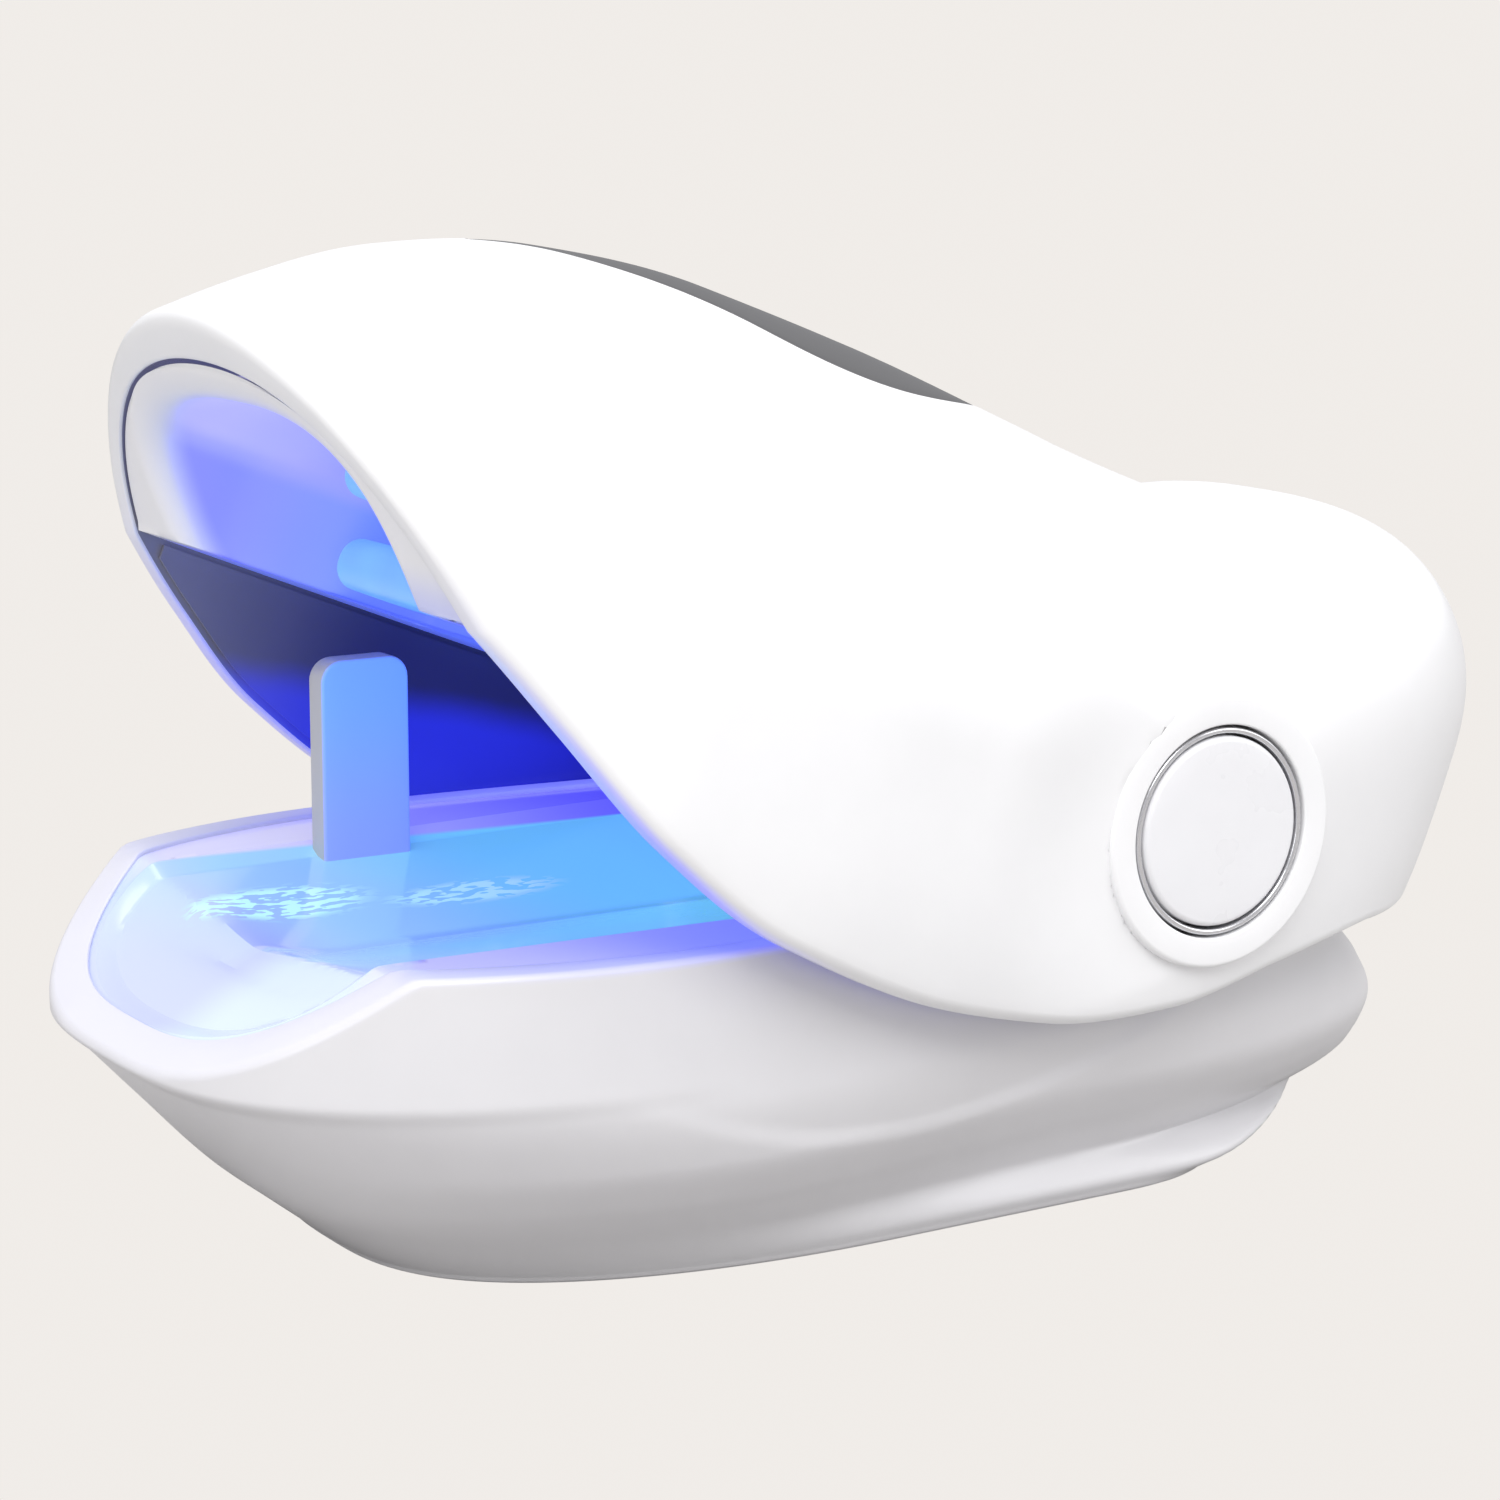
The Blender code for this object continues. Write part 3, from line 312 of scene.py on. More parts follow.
# ---- Meshes ------------------------------------------------------------------------------------------
class Mesh:
    """Gathers grids of points and the quads between them into one mesh."""

    def __init__(self) -> None:
        """Starts empty."""
        self.points: list[Array] = []
        self.faces: list[Array] = []
        self.paints: list[Array] = []
        self.count = 0

    def add(self, points: Array) -> Array:
        """Adds points of any grid shape and returns their indices in that shape."""
        points = np.asarray(points, float)
        index = np.arange(self.count, self.count + points[..., 0].size).reshape(points.shape[:-1])
        self.points.append(points.reshape(-1, 3))
        self.count += index.size
        return index

    def quads(self, index: Array, flip: bool = False, around: bool = False, paint: int = 0) -> None:
        """Fills between neighbouring rows and columns of an index grid.

        Args:
            index: Rows of point indices.
            flip: Turns the faces round.
            around: Joins the last column to the first.
            paint: The material slot of these faces.
        """
        if around:
            index = np.c_[index, index[:, :1]]
        a, b, c, d = index[:-1, :-1], index[:-1, 1:], index[1:, 1:], index[1:, :-1]
        face = np.stack((a, b, c, d) if not flip else (a, d, c, b), -1).reshape(-1, 4)
        self.faces.append(face)
        self.paints.append(np.full(len(face), paint))

    def make(self, name: str, lid: bool, sharp: float = SHARP_DEG) -> bpy.types.Object:
        """Welds the points, turns every face outward, and links the object.

        Args:
            name: Name of the piece.
            lid: Whether the points belong to the lid and are turned open.
            sharp: Angle in degrees past which an edge is shaded sharp.
        Returns:
            The object, at the origin with its place in its mesh.
        """
        points = to_world(np.concatenate(self.points), lid)
        faces = np.concatenate(self.faces)
        paints = np.concatenate(self.paints)
        _, first, index = np.unique(np.round(points / WELD).astype(np.int64), axis=0,
                                    return_index=True, return_inverse=True)
        faces = index.reshape(-1)[faces]
        # A corner that repeats an earlier one is dropped, and so is a face with fewer than three left.
        keep = np.stack([(faces[:, k:k + 1] != faces[:, :k]).all(axis=1) for k in range(4)], axis=1)
        whole = keep.sum(axis=1) > 2
        faces, keep, paints = faces[whole], keep[whole], paints[whole]
        mesh = bpy.data.meshes.new(name)
        mesh.vertices.add(len(first))
        mesh.vertices.foreach_set("co", points[first].ravel())
        mesh.loops.add(int(keep.sum()))
        mesh.polygons.add(len(faces))
        mesh.polygons.foreach_set("loop_start", np.r_[0, keep.sum(axis=1).cumsum()[:-1]].astype(np.int32))
        mesh.polygons.foreach_set("vertices", faces[keep].astype(np.int32))
        mesh.update(calc_edges=True)
        mesh.polygons.foreach_set("material_index", paints.astype(np.int32))
        work = bmesh.new()
        work.from_mesh(mesh)
        bmesh.ops.recalc_face_normals(work, faces=work.faces)
        work.to_mesh(mesh)
        work.free()
        return link(name, mesh, sharp)


def shade(mesh: bpy.types.Mesh, sharp: float) -> None:
    """Shades a mesh smooth, with sharp creases past an angle in degrees."""
    mesh.polygons.foreach_set("use_smooth", np.ones(len(mesh.polygons), bool))
    mesh.set_sharp_from_angle(angle=math.radians(sharp))


def link(name: str, mesh: bpy.types.Mesh, sharp: float) -> bpy.types.Object:
    """Shades a mesh and links it as an object."""
    shade(mesh, sharp)
    mesh.update()
    obj = bpy.data.objects.new(name, mesh)
    bpy.context.scene.collection.objects.link(obj)
    return obj


def carve(obj: bpy.types.Object, cutter: bpy.types.Object) -> None:
    """Cuts one closed mesh out of another and keeps the result as the object's mesh."""
    modifier = obj.modifiers.new("Cut", "BOOLEAN")
    modifier.operation, modifier.solver, modifier.object = "DIFFERENCE", "EXACT", cutter
    bpy.context.view_layer.update()
    graph = bpy.context.evaluated_depsgraph_get()
    mesh = bpy.data.meshes.new_from_object(obj.evaluated_get(graph))
    obj.modifiers.remove(modifier)
    old, obj.data = obj.data, mesh
    shade(mesh, SHARP_DEG)
    bpy.data.meshes.remove(old)
    bpy.data.objects.remove(cutter)


def border(index: Array) -> Array:
    """Indices round an index grid: first row, far column, last row and near column."""
    return np.r_[index[0], index[1:-1, -1], index[-1][::-1], index[1:-1, 0][::-1]]


def plate(first: Array, second: Array) -> Mesh:
    """A closed mesh between two grids of points of the same shape."""
    mesh = Mesh()
    sheets = [mesh.add(first), mesh.add(second)]
    mesh.quads(sheets[0])
    mesh.quads(sheets[1], flip=True)
    mesh.quads(np.stack([border(sheet) for sheet in sheets]), flip=True, around=True)
    return mesh


def fillet(first: Array, corner: Array, last: Array, steps: int) -> list[Array]:
    """Rows between two edges on a quarter of an ellipse about their inner corner, ends left out."""
    turn = np.linspace(0, math.pi / 2, steps + 2)[1:-1]
    return [corner + (first - corner) * math.cos(a) + (last - corner) * math.sin(a) for a in turn]


def turned(profile: Array, side: int, around: int = 128) -> Mesh:
    """A profile of (radius, |y|) points carried round the hinge axis.

    Args:
        profile: Closed loop of points.
        side: -1 for the near side and 1 for the far one.
        around: Steps of the turn.
    Returns:
        A closed mesh in the lid's closed frame.
    """
    radius, out = np.asarray(profile, float).T
    turn = np.linspace(0, 2 * math.pi, around, endpoint=False)
    ring = radius[:, None]
    y = np.broadcast_to(side * out[:, None], (len(out), around))
    points = np.stack((HINGE_S + ring * np.cos(turn), y, HINGE_H + ring * np.sin(turn)), -1)
    mesh = Mesh()
    index = mesh.add(points)
    mesh.quads(np.r_[index, index[:1]], around=True)
    return mesh


def rounded(profile: Sequence[tuple[float, float, float]], steps: int = 5) -> Array:
    """A closed loop of (u, v, radius) corners with each corner rounded by an arc.

    Args:
        profile: Corners in order; a radius of 0 keeps a corner sharp.
        steps: Steps in each arc.
    Returns:
        Points (n, 2).
    """
    corner = np.array([p[:2] for p in profile], float)
    made: list[Array] = []
    for k, (here, entry) in enumerate(zip(corner, profile)):
        before, after = corner[k - 1] - here, corner[(k + 1) % len(corner)] - here
        radius = entry[2]
        if radius <= 0:
            made.append(here[None])
            continue
        before, after = before / np.linalg.norm(before), after / np.linalg.norm(after)
        bend = math.acos(float(np.clip(before @ after, -1, 1)))
        reach = radius / math.tan(bend / 2)
        centre = here + (before + after) / np.linalg.norm(before + after) * radius / math.sin(bend / 2)
        start, end = here + before * reach - centre, here + after * reach - centre
        span = math.pi - bend
        t = np.linspace(0, 1, steps + 1)[:, None]
        made.append(centre + (np.sin((1 - t) * span) * start + np.sin(t * span) * end) / math.sin(span))
    return np.concatenate(made)


def slab(outline: Callable[[float], Array], low: float, high: float, edge: float,
         put: Callable[[Array, Array], Array], steps: int = 5) -> Mesh:
    """A plate with rounded edges: its outline carried through its thickness.

    Args:
        outline: Gives the outline's points (n, 2), shrunk by an amount.
        low: Start of the thickness.
        high: End of the thickness.
        edge: Radius of the rounded edges.
        put: Turns outline points and a place in the thickness into points (n, 3).
        steps: Steps in each rounded edge.
    Returns:
        A closed mesh.
    """
    turn = np.linspace(0, math.pi / 2, steps + 1)
    shrink = np.r_[edge * (1 - np.sin(turn)), edge * (1 - np.cos(turn))]
    place = np.r_[low + edge * (1 - np.cos(turn)), high - edge * (1 - np.sin(turn))]
    flat = outline(edge)
    middle = flat.mean(axis=0)
    inner = [middle + (flat - middle) * f for f in (0.0, 0.5)]
    rows = [put(p, np.full(len(p), low)) for p in inner]
    rows += [put(outline(float(q)), np.full(len(flat), z)) for q, z in zip(shrink, place)]
    rows += [put(p, np.full(len(p), high)) for p in inner[::-1]]
    mesh = Mesh()
    mesh.quads(mesh.add(np.stack(rows)), around=True)
    return mesh


def box_outline(u0: float, u1: float, v0: float, v1: float, radius: float,
                top: float | None = None) -> Callable[[float], Array]:
    """Outline of a rounded rectangle, as a function of how far it is shrunk."""
    upper = radius if top is None else top

    def outline(by: float) -> Array:
        """The rectangle's corners moved in and its arcs tightened by that amount."""
        low, high = max(radius - by, 0.02), max(upper - by, 0.02)
        return rounded([(u0 + by, v0 + by, low), (u1 - by, v0 + by, low),
                        (u1 - by, v1 - by, high), (u0 + by, v1 - by, high)], 8)

    return outline


# ---- Shader building ---------------------------------------------------------------------------------
def operator(operation: str, swap: bool = False) -> Callable[["Wire", "Wire | float"], "Wire"]:
    """A Math node as an operator of a wire; a swapped one serves a number on the left."""

    def method(self: "Wire", other: "Wire | float") -> "Wire":
        """The node's output."""
        return self.math(operation, *((other, self) if swap else (self, other)))

    return method


class Wire:
    """A number output of a node that can be used in arithmetic."""

    def __init__(self, paint: "Paint", socket: bpy.types.NodeSocket) -> None:
        """Keeps the tree and the socket."""
        self.paint, self.socket = paint, socket

    def math(self, operation: str, *values: "Wire | float") -> "Wire":
        """One Math node on one or two values."""
        return self.paint.node("ShaderNodeMath", {"operation": operation}, dict(enumerate(values)))

    __add__, __radd__ = operator("ADD"), operator("ADD", True)
    __sub__, __rsub__ = operator("SUBTRACT"), operator("SUBTRACT", True)
    __mul__, __rmul__ = operator("MULTIPLY"), operator("MULTIPLY", True)
    __truediv__, __rtruediv__ = operator("DIVIDE"), operator("DIVIDE", True)
    __pow__, __rpow__ = operator("POWER"), operator("POWER", True)

    def size(self) -> "Wire":
        """Its value without its sign."""
        return self.math("ABSOLUTE", self)

    def most(self, other: "Wire | float") -> "Wire":
        """The larger of two."""
        return self.math("MAXIMUM", self, other)

    def step(self, low: float, high: float) -> "Wire":
        """A smooth step: 0 at the first value and 1 at the second."""
        settings = {"interpolation_type": "SMOOTHSTEP", "clamp": True}
        ends = {"Value": self, "From Min": low, "From Max": high, "To Min": 0.0, "To Max": 1.0}
        return self.paint.node("ShaderNodeMapRange", settings, ends)


Colour = tuple[float, float, float]


def srgb(red: float, green: float, blue: float) -> Colour:
    """Linear colour from display values of 0 to 255."""
    return tuple(float(v) for v in (np.array((red, green, blue)) / 255) ** 2.2)


class Paint:
    """One material, or the world, and its node tree."""

    def __init__(self, name: str, world: bool = False) -> None:
        """Makes it with only its first shader and its output."""
        self.material = (bpy.data.worlds if world else bpy.data.materials).new(name)
        self.material.use_nodes = True
        self.tree = self.material.node_tree
        self.shader = self.tree.nodes["Background" if world else "Principled BSDF"]

    def fill(self, socket: bpy.types.NodeSocket, value: object) -> None:
        """Links a wire to a socket or sets its value; a colour of three values becomes opaque."""
        if isinstance(value, Wire):
            self.tree.links.new(value.socket, socket)
        elif socket.type == "RGBA":
            socket.default_value = (*value[:3], 1)
        else:
            socket.default_value = value

    def node(self, kind: str, settings: dict[str, object], inputs: dict[str | int, object],
             output: str | int = 0) -> Wire:
        """Adds one node.

        Args:
            kind: Node type.
            settings: Properties set first, such as an operation.
            inputs: Values or links for its sockets.
            output: Which output to return.
        Returns:
            That output.
        """
        node = self.tree.nodes.new(kind)
        for key, value in settings.items():
            setattr(node, key, value)
        for key, value in inputs.items():
            self.fill(node.inputs[key], value)
        return Wire(self, node.outputs[output])

    def place(self, lid: bool) -> tuple[Wire, Wire, Wire]:
        """Station, width and height in millimetres, in the lid's closed frame if asked."""
        there = self.node("ShaderNodeTexCoord", {}, {}, "Object")
        parts = self.node("ShaderNodeSeparateXYZ", {}, {0: there}).socket.node.outputs
        x, y, z = (Wire(self, socket) * 1000 for socket in parts)
        s, h = closed(x, z) if lid else (x - MOUTH_X, z - RIM_Z)
        return s, y, h

    def noise(self, size_mm: float, detail: float = 3.0, stretch: Colour = (1, 1, 1)) -> Wire:
        """Smooth noise of a grain size, in object space."""
        there = self.node("ShaderNodeTexCoord", {}, {}, "Object")
        there = self.node("ShaderNodeMapping", {}, {"Vector": there, "Scale": stretch})
        sizes = {"Vector": there, "Scale": 1000 / size_mm, "Detail": detail}
        return self.node("ShaderNodeTexNoise", {}, sizes)

    def mix(self, share: Wire | float, a: object, b: object) -> Wire:
        """Mixes two colours, given as values or wires."""
        return self.node("ShaderNodeMix", {"data_type": "RGBA"}, {0: share, 6: a, 7: b}, 2)

    def marked(self) -> Wire:
        """The share that the edge attribute holds."""
        edge = self.node("ShaderNodeVertexColor", {"layer_name": "edge"}, {}, "Color")
        return self.node("ShaderNodeSeparateColor", {}, {0: edge}, 0)

    def feed(self, **values: object) -> None:
        """Sets or links the shader's sockets, named with underscores for spaces."""
        for key, value in values.items():
            self.fill(self.shader.inputs[key.replace("_", " ")], value)

    def bump(self, height: Wire, depth_mm: float) -> None:
        """Links a height pattern to the shader's normal."""
        sizes = {"Height": height, "Strength": 1.0, "Distance": depth_mm * MM}
        self.feed(Normal=self.node("ShaderNodeBump", {}, sizes, "Normal"))


class Grain(Enum):
    """Surface character of a moulding: grain size in mm, bump depth in mm, and spread of its roughness."""

    POLISHED = (1.4, 0.0006, 0.03)
    SATIN = (0.35, 0.0012, 0.05)
    TEXTURED = (0.22, 0.010, 0.10)


@dataclass(frozen=True)
class Moulding:
    """A plain moulded plastic with faint mottling, roughness variation and grain."""

    name: str
    colour: Colour
    roughness: float
    grain: Grain = Grain.SATIN
    coat: float = 0.0
    metallic: float = 0.0
    ior: float = 1.47

    def start(self) -> tuple[Paint, Wire]:
        """Makes the paint with grain and roughness, and returns its mottling for the colour."""
        paint = Paint(self.name)
        size, depth, spread = self.grain.value
        paint.bump(paint.noise(size, 2.0), depth)
        mottle = paint.noise(9.0, 4.0)
        paint.feed(Roughness=mottle * (2 * spread) + (self.roughness - spread), Coat_Weight=self.coat,
                   Coat_Roughness=0.08, Metallic=self.metallic, IOR=self.ior)
        return paint, mottle

    def mottled(self, paint: Paint, mottle: Wire, share: float) -> Wire:
        """The colour, darkened to a share of itself where the mottling is low."""
        return paint.mix(mottle.step(0.3, 0.7), tuple(c * share for c in self.colour), self.colour)

    def build(self) -> bpy.types.Material:
        """The finished material."""
        paint, mottle = self.start()
        paint.feed(Base_Color=self.mottled(paint, mottle, 0.965))
        return paint.material


@dataclass(frozen=True)
class LidWhite(Moulding):
    """White of the lid, tinged with violet on the edge that the chamber's light reaches."""

    def build(self) -> bpy.types.Material:
        """White, mixed with lilac where the edge is marked, and glowing a little."""
        paint, mottle = self.start()
        s, _, _ = paint.place(lid=True)
        lit = paint.marked() * s.step(-4.0, 12.0) * (1 - s.step(14.0, 30.0))
        shine = lit * (0.35 + s.step(10.0, 34.0) * 0.5)
        paint.feed(Base_Color=paint.mix(lit * 0.75, self.mottled(paint, mottle, 0.975), srgb(176, 178, 255)),
                   Emission_Color=paint.mix(shine, BLACK, srgb(120, 118, 255)), Emission_Strength=0.55)
        return paint.material


@dataclass(frozen=True)
class LinerGlow(Moulding):
    """Dark smoked lining of the skirts, with painted royal-blue light toward its lower edge and the rear, and
    a painted glow.
    """

    def build(self) -> bpy.types.Material:
        """Slate in the deck's painted shadow above, painted royal-blue light below a line that rises to the
        rear, with a soft change between; both glow, fading out to the rear.
        """
        paint, mottle = self.start()
        s, _, h = paint.place(lid=True)
        # The line is the edge of the deck's painted shadow; the painted blue light lies below it.
        line = h + 7.6 - s * 0.13 + (mottle - 0.5) * 1.2
        blue = 1 - line.step(-1.9, 1.1)
        front = 1 - s.step(2.0, 24.0)
        slate_and_painted_shade = paint.mix(front, srgb(58, 58, 104), srgb(128, 127, 138))
        glow = paint.mix(front, srgb(54, 60, 200), srgb(98, 100, 190))
        shine = paint.mix(blue, paint.mix(front, srgb(36, 36, 66), srgb(92, 92, 104)), glow)
        paint.feed(Base_Color=paint.mix(blue, slate_and_painted_shade, glow),
                   Emission_Color=paint.mix(s.step(34.0, 50.0), shine, BLACK), Emission_Strength=0.38)
        return paint.material


@dataclass(frozen=True)
class ChamberGlow(Moulding):
    """Pale insert whose cavity carries painted violet light: violet walls, a lavender roof and a plain face.
    """

    def build(self) -> bpy.types.Material:
        """Painted light by depth behind the face plane, violet changing to lavender where wall meets roof,
        with painted shade along that crease; the cavity glows.
        """
        paint, mottle = self.start()
        s, y, h = paint.place(lid=True)
        deep = (s + h * FACE_LEAN).step(1.5, 4.2)
        roof = (h + (mottle - 0.5) * 0.8).step(6.2, 7.6)
        rear = s.step(-2.0, 11.0)
        wall = paint.mix(rear, srgb(134, 136, 250), srgb(122, 142, 255))
        top = paint.mix(rear, srgb(178, 174, 226), srgb(136, 140, 222))
        inside = paint.mix(roof, wall, top)
        # Painted shade along the crease where the wall meets the roof.
        crease_shade = 1 - ((h - 6.9) * 0.9).size().step(0.0, 1.0)
        inside = paint.mix(crease_shade * 0.55, inside, srgb(150, 152, 208))
        low = 1 - h.step(0.3, 3.0)
        face_lit = paint.mix(low * (1 - y.step(-6.0, 4.0)) * 0.7, self.colour, srgb(190, 196, 255))
        # Painted shade: the cavity glows less at its foot, by the deck.
        under = 1 - h.step(0.35, 0.62)
        paint.feed(Base_Color=paint.mix(deep, face_lit, inside),
                   Emission_Color=paint.mix(deep * (1 - under * 0.6), BLACK, inside), Emission_Strength=0.5)
        return paint.material


@dataclass(frozen=True)
class TrayPaintedLight(Moulding):
    """Glossy tray with painted light, from near white at the lip to saturated azure at the rear, and painted
    glints.
    """

    def build(self) -> bpy.types.Material:
        """Painted light by station and width, glowing more to the rear; painted glints are a fine noise kept
        to two long patches.
        """
        paint, mottle = self.start()
        s, y, _ = paint.place(lid=False)
        far = y.step(-7.0, -1.0)
        # The painted light grows from the lip toward the rear.
        run = (s + y * 0.25 + (mottle - 0.5) * 3).step(-10.0, 34.0)
        pale = paint.mix(far, srgb(212, 226, 246), srgb(196, 204, 240))
        middle = paint.mix(far, srgb(158, 232, 244), srgb(164, 212, 242))
        painted_light = paint.mix(run.step(0.02, 0.46), pale, middle)
        painted_light = paint.mix(run.step(0.45, 1.0), painted_light, srgb(132, 228, 238))
        # The ledge beside the trough: near white in front, painted violet light toward the rear.
        ledge = y.size().step(15.9, 16.3) * s.step(-3.0, 2.0)
        ledge_painted_light = paint.mix(s.step(4.0, 40.0), srgb(222, 218, 246), srgb(120, 110, 250))
        painted_light = paint.mix(ledge, painted_light, ledge_painted_light)
        # A fine speckle for the painted glints.
        grain = paint.noise(0.55, 1.5, (0.4, 1.0, 1.0)).step(0.47, 0.52)
        glint = grain * self.patch(s, y)
        colour = paint.mix(glint, painted_light, srgb(190, 244, 255))
        shine = (run * 0.9 + 0.05).most(glint)
        paint.feed(Base_Color=colour, Emission_Color=paint.mix(shine, BLACK, colour), Emission_Strength=0.42)
        return paint.material

    def patch(self, s: Wire, y: Wire) -> Wire:
        """Where the glints lie: two soft ovals beside the middle line."""
        def oval(s0: float, y0: float, long: float, wide: float) -> Wire:
            """1 at the middle of an oval, falling to 0 at its edge."""
            away = ((s - s0) / long) ** 2 + ((y - y0) / wide) ** 2
            return 1 - away.step(0.25, 1.0)
        return oval(5.5, 8.2, 7.5, 3.4).most(oval(18.5, 6.2, 7.5, 2.2))


@dataclass(frozen=True)
class BladeGlow(Moulding):
    """Pale tab that catches blue light on the face toward the chamber's middle."""

    def build(self) -> bpy.types.Material:
        """Blue on faces that look toward -Y, brighter to the top, and plain grey elsewhere."""
        paint, _ = self.start()
        _, _, h = paint.place(lid=False)
        faces = paint.node("ShaderNodeNewGeometry", {}, {}, "Normal")
        near = {0: faces, 1: (0.0, -1.0, 0.0)}
        across = paint.node("ShaderNodeVectorMath", {"operation": "DOT_PRODUCT"}, near, 1)
        lit = across.step(0.25, 0.9)
        rise = h.step(-1.0, 11.0)
        blue = paint.mix(rise, srgb(132, 150, 255), srgb(118, 164, 255))
        paint.feed(Base_Color=paint.mix(lit, self.colour, blue),
                   Emission_Color=paint.mix(lit, BLACK, blue), Emission_Strength=0.5)
        return paint.material


@dataclass(frozen=True)
class BaseWhite(Moulding):
    """White of the base, with the rim tinged lilac where the tray's light spills over it."""

    def build(self) -> bpy.types.Material:
        """White, mixed with lilac on faces of the rim, more to the rear."""
        paint, mottle = self.start()
        s, _, _ = paint.place(lid=False)
        edge = paint.marked()
        lit = edge * (0.06 + s.step(-2.0, 22.0) * 0.6)
        paint.feed(Base_Color=paint.mix(lit, self.mottled(paint, mottle, 0.975), srgb(196, 200, 255)),
                   Emission_Color=paint.mix(edge * s.step(4.0, 30.0), BLACK, srgb(150, 150, 255)),
                   Emission_Strength=0.4)
        return paint.material


@dataclass(frozen=True)
class Glow:
    """A frosted diffuser or emitter that shines, with its colour and light drifting a little."""

    name: str
    colour: Colour
    shine: Colour
    strength: float

    def build(self) -> bpy.types.Material:
        """Base colour and light both drift a little with a broad noise."""
        paint = Paint(self.name)
        drift = paint.noise(5.0, 2.0)
        soft = tuple(0.8 * c for c in self.shine)
        paint.feed(Base_Color=paint.mix(drift, tuple(0.92 * c for c in self.colour), self.colour),
                   Emission_Color=paint.mix(drift.step(0.3, 0.7), soft, self.shine),
                   Emission_Strength=self.strength, Roughness=drift * 0.1 + 0.25)
        paint.bump(paint.noise(0.5, 2.0), 0.002)
        return paint.material


@dataclass(frozen=True)
class Metal:
    """A metal with fine machining marks and slightly uneven gloss."""

    name: str
    colour: Colour
    roughness: float

    def build(self) -> bpy.types.Material:
        """Marks are noise stretched along one way."""
        paint = Paint(self.name)
        marks = paint.noise(0.3, 3.0, (1.0, 0.12, 1.0))
        paint.feed(Base_Color=paint.mix(marks, tuple(0.88 * c for c in self.colour), self.colour),
                   Roughness=marks * 0.14 + (self.roughness - 0.07), Metallic=1.0)
        paint.bump(marks, 0.0015)
        return paint.material


@dataclass(frozen=True)
class Board:
    """A circuit board: green mask over faint tracks, with small pads."""

    name: str

    def build(self) -> bpy.types.Material:
        """Tracks are bands of a stretched noise, and pads are the cores of a cell pattern."""
        paint = Paint(self.name)
        there = paint.node("ShaderNodeTexCoord", {}, {}, "Object")
        cells = paint.node("ShaderNodeTexVoronoi", {}, {"Vector": there, "Scale": 420.0}, "Distance")
        pads = 1 - cells.step(0.12, 0.17)
        tracks = (paint.noise(2.2, 1.0, (1.0, 0.3, 1.0)) - 0.5).size()
        lines = 1 - tracks.step(0.01, 0.03)
        mask = paint.mix(lines * 0.6, srgb(14, 74, 44), srgb(40, 122, 74))
        paint.feed(Base_Color=paint.mix(pads, mask, srgb(206, 180, 120)), Roughness=0.45 - pads * 0.15,
                   Metallic=pads * 0.8)
        paint.bump(pads + lines * 0.4, 0.02)
        return paint.material


@dataclass
class Finishes:
    """Every material of the device, built once."""

    made: dict[str, bpy.types.Material] = field(default_factory=dict)

    def __post_init__(self) -> None:
        """Builds them all."""
        specs = [
            LidWhite("lid_white", (0.87, 0.87, 0.88), 0.30, Grain.POLISHED, 0.15),
            BaseWhite("base_white", (0.72, 0.713, 0.73), 0.36, Grain.POLISHED, 0.12),
            Moulding("cap_white", (0.81, 0.81, 0.83), 0.28, Grain.SATIN, 0.1),
            LinerGlow("smoked_liner", (0.1, 0.1, 0.2), 0.22, Grain.POLISHED, 0.3),
            ChamberGlow("chamber", (0.86, 0.855, 0.87), 0.34, Grain.SATIN),
            TrayPaintedLight("tray_gloss", (0.8, 0.85, 1.0), 0.14, Grain.POLISHED, 0.5),
            BladeGlow("tab_blade", (0.50, 0.50, 0.51), 0.30, Grain.SATIN),
            Moulding("strip_black", (0.10, 0.10, 0.103), 0.42, Grain.POLISHED, 0.0, 0.0, 1.18),
            Moulding("black_plastic", (0.03, 0.03, 0.034), 0.5, Grain.TEXTURED),
            Moulding("grey_cover", (0.55, 0.55, 0.58), 0.5, Grain.TEXTURED),
            Moulding("rubber", (0.035, 0.035, 0.038), 0.8, Grain.TEXTURED),
            Moulding("foil", (0.55, 0.57, 0.60), 0.35, Grain.TEXTURED, 0.0, 0.7),
            Glow("diffuser", srgb(126, 180, 252), srgb(96, 158, 255), 0.5),
            Glow("emitter", srgb(170, 170, 255), srgb(90, 100, 255), 1.0),
            Metal("chrome", (0.78, 0.78, 0.80), 0.2),
            Metal("steel", (0.58, 0.58, 0.60), 0.30),
            Metal("brass", (0.72, 0.55, 0.27), 0.32),
            Board("board"),
        ]
        for spec in specs:
            self.made[spec.name] = spec.build()

    def dress(self, obj: bpy.types.Object, *names: str) -> None:
        """Gives an object these materials in its slots."""
        paints = [self.made[name] for name in names]
        while len(obj.data.materials) < len(paints):
            obj.data.materials.append(None)
        for k in range(len(obj.data.materials)):
            obj.data.materials[k] = paints[min(k, len(paints) - 1)]

    def fit(self, mesh: Mesh, name: str, finish: str, body: str, slot: str, *nodes: str,
            sharp: float = SHARP_DEG) -> None:
        """Makes a piece from its mesh, dresses it and settles it.

        Args:
            mesh: Its points and faces.
            name: Name of the piece.
            finish: Name of its finish.
            body: Body that it rides on; only the base's pieces are drawn in the base's frame.
            slot: Its slot; not used.
            nodes: CAD nodes that it stands for.
            sharp: Angle in degrees past which an edge is shaded sharp.
        """
        obj = mesh.make(name, body != "base", sharp)
        self.dress(obj, finish)
        settle(obj, body, slot, *nodes)


def settle(obj: bpy.types.Object, body: str, slot: str, *nodes: str) -> bpy.types.Object:
    """Rides a piece on its body and stands it for its CAD nodes."""
    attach(obj, body)
    if nodes:
        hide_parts(*nodes)
    log.info("%s: %d faces on %s", obj.name, len(obj.data.polygons), body)
    return obj


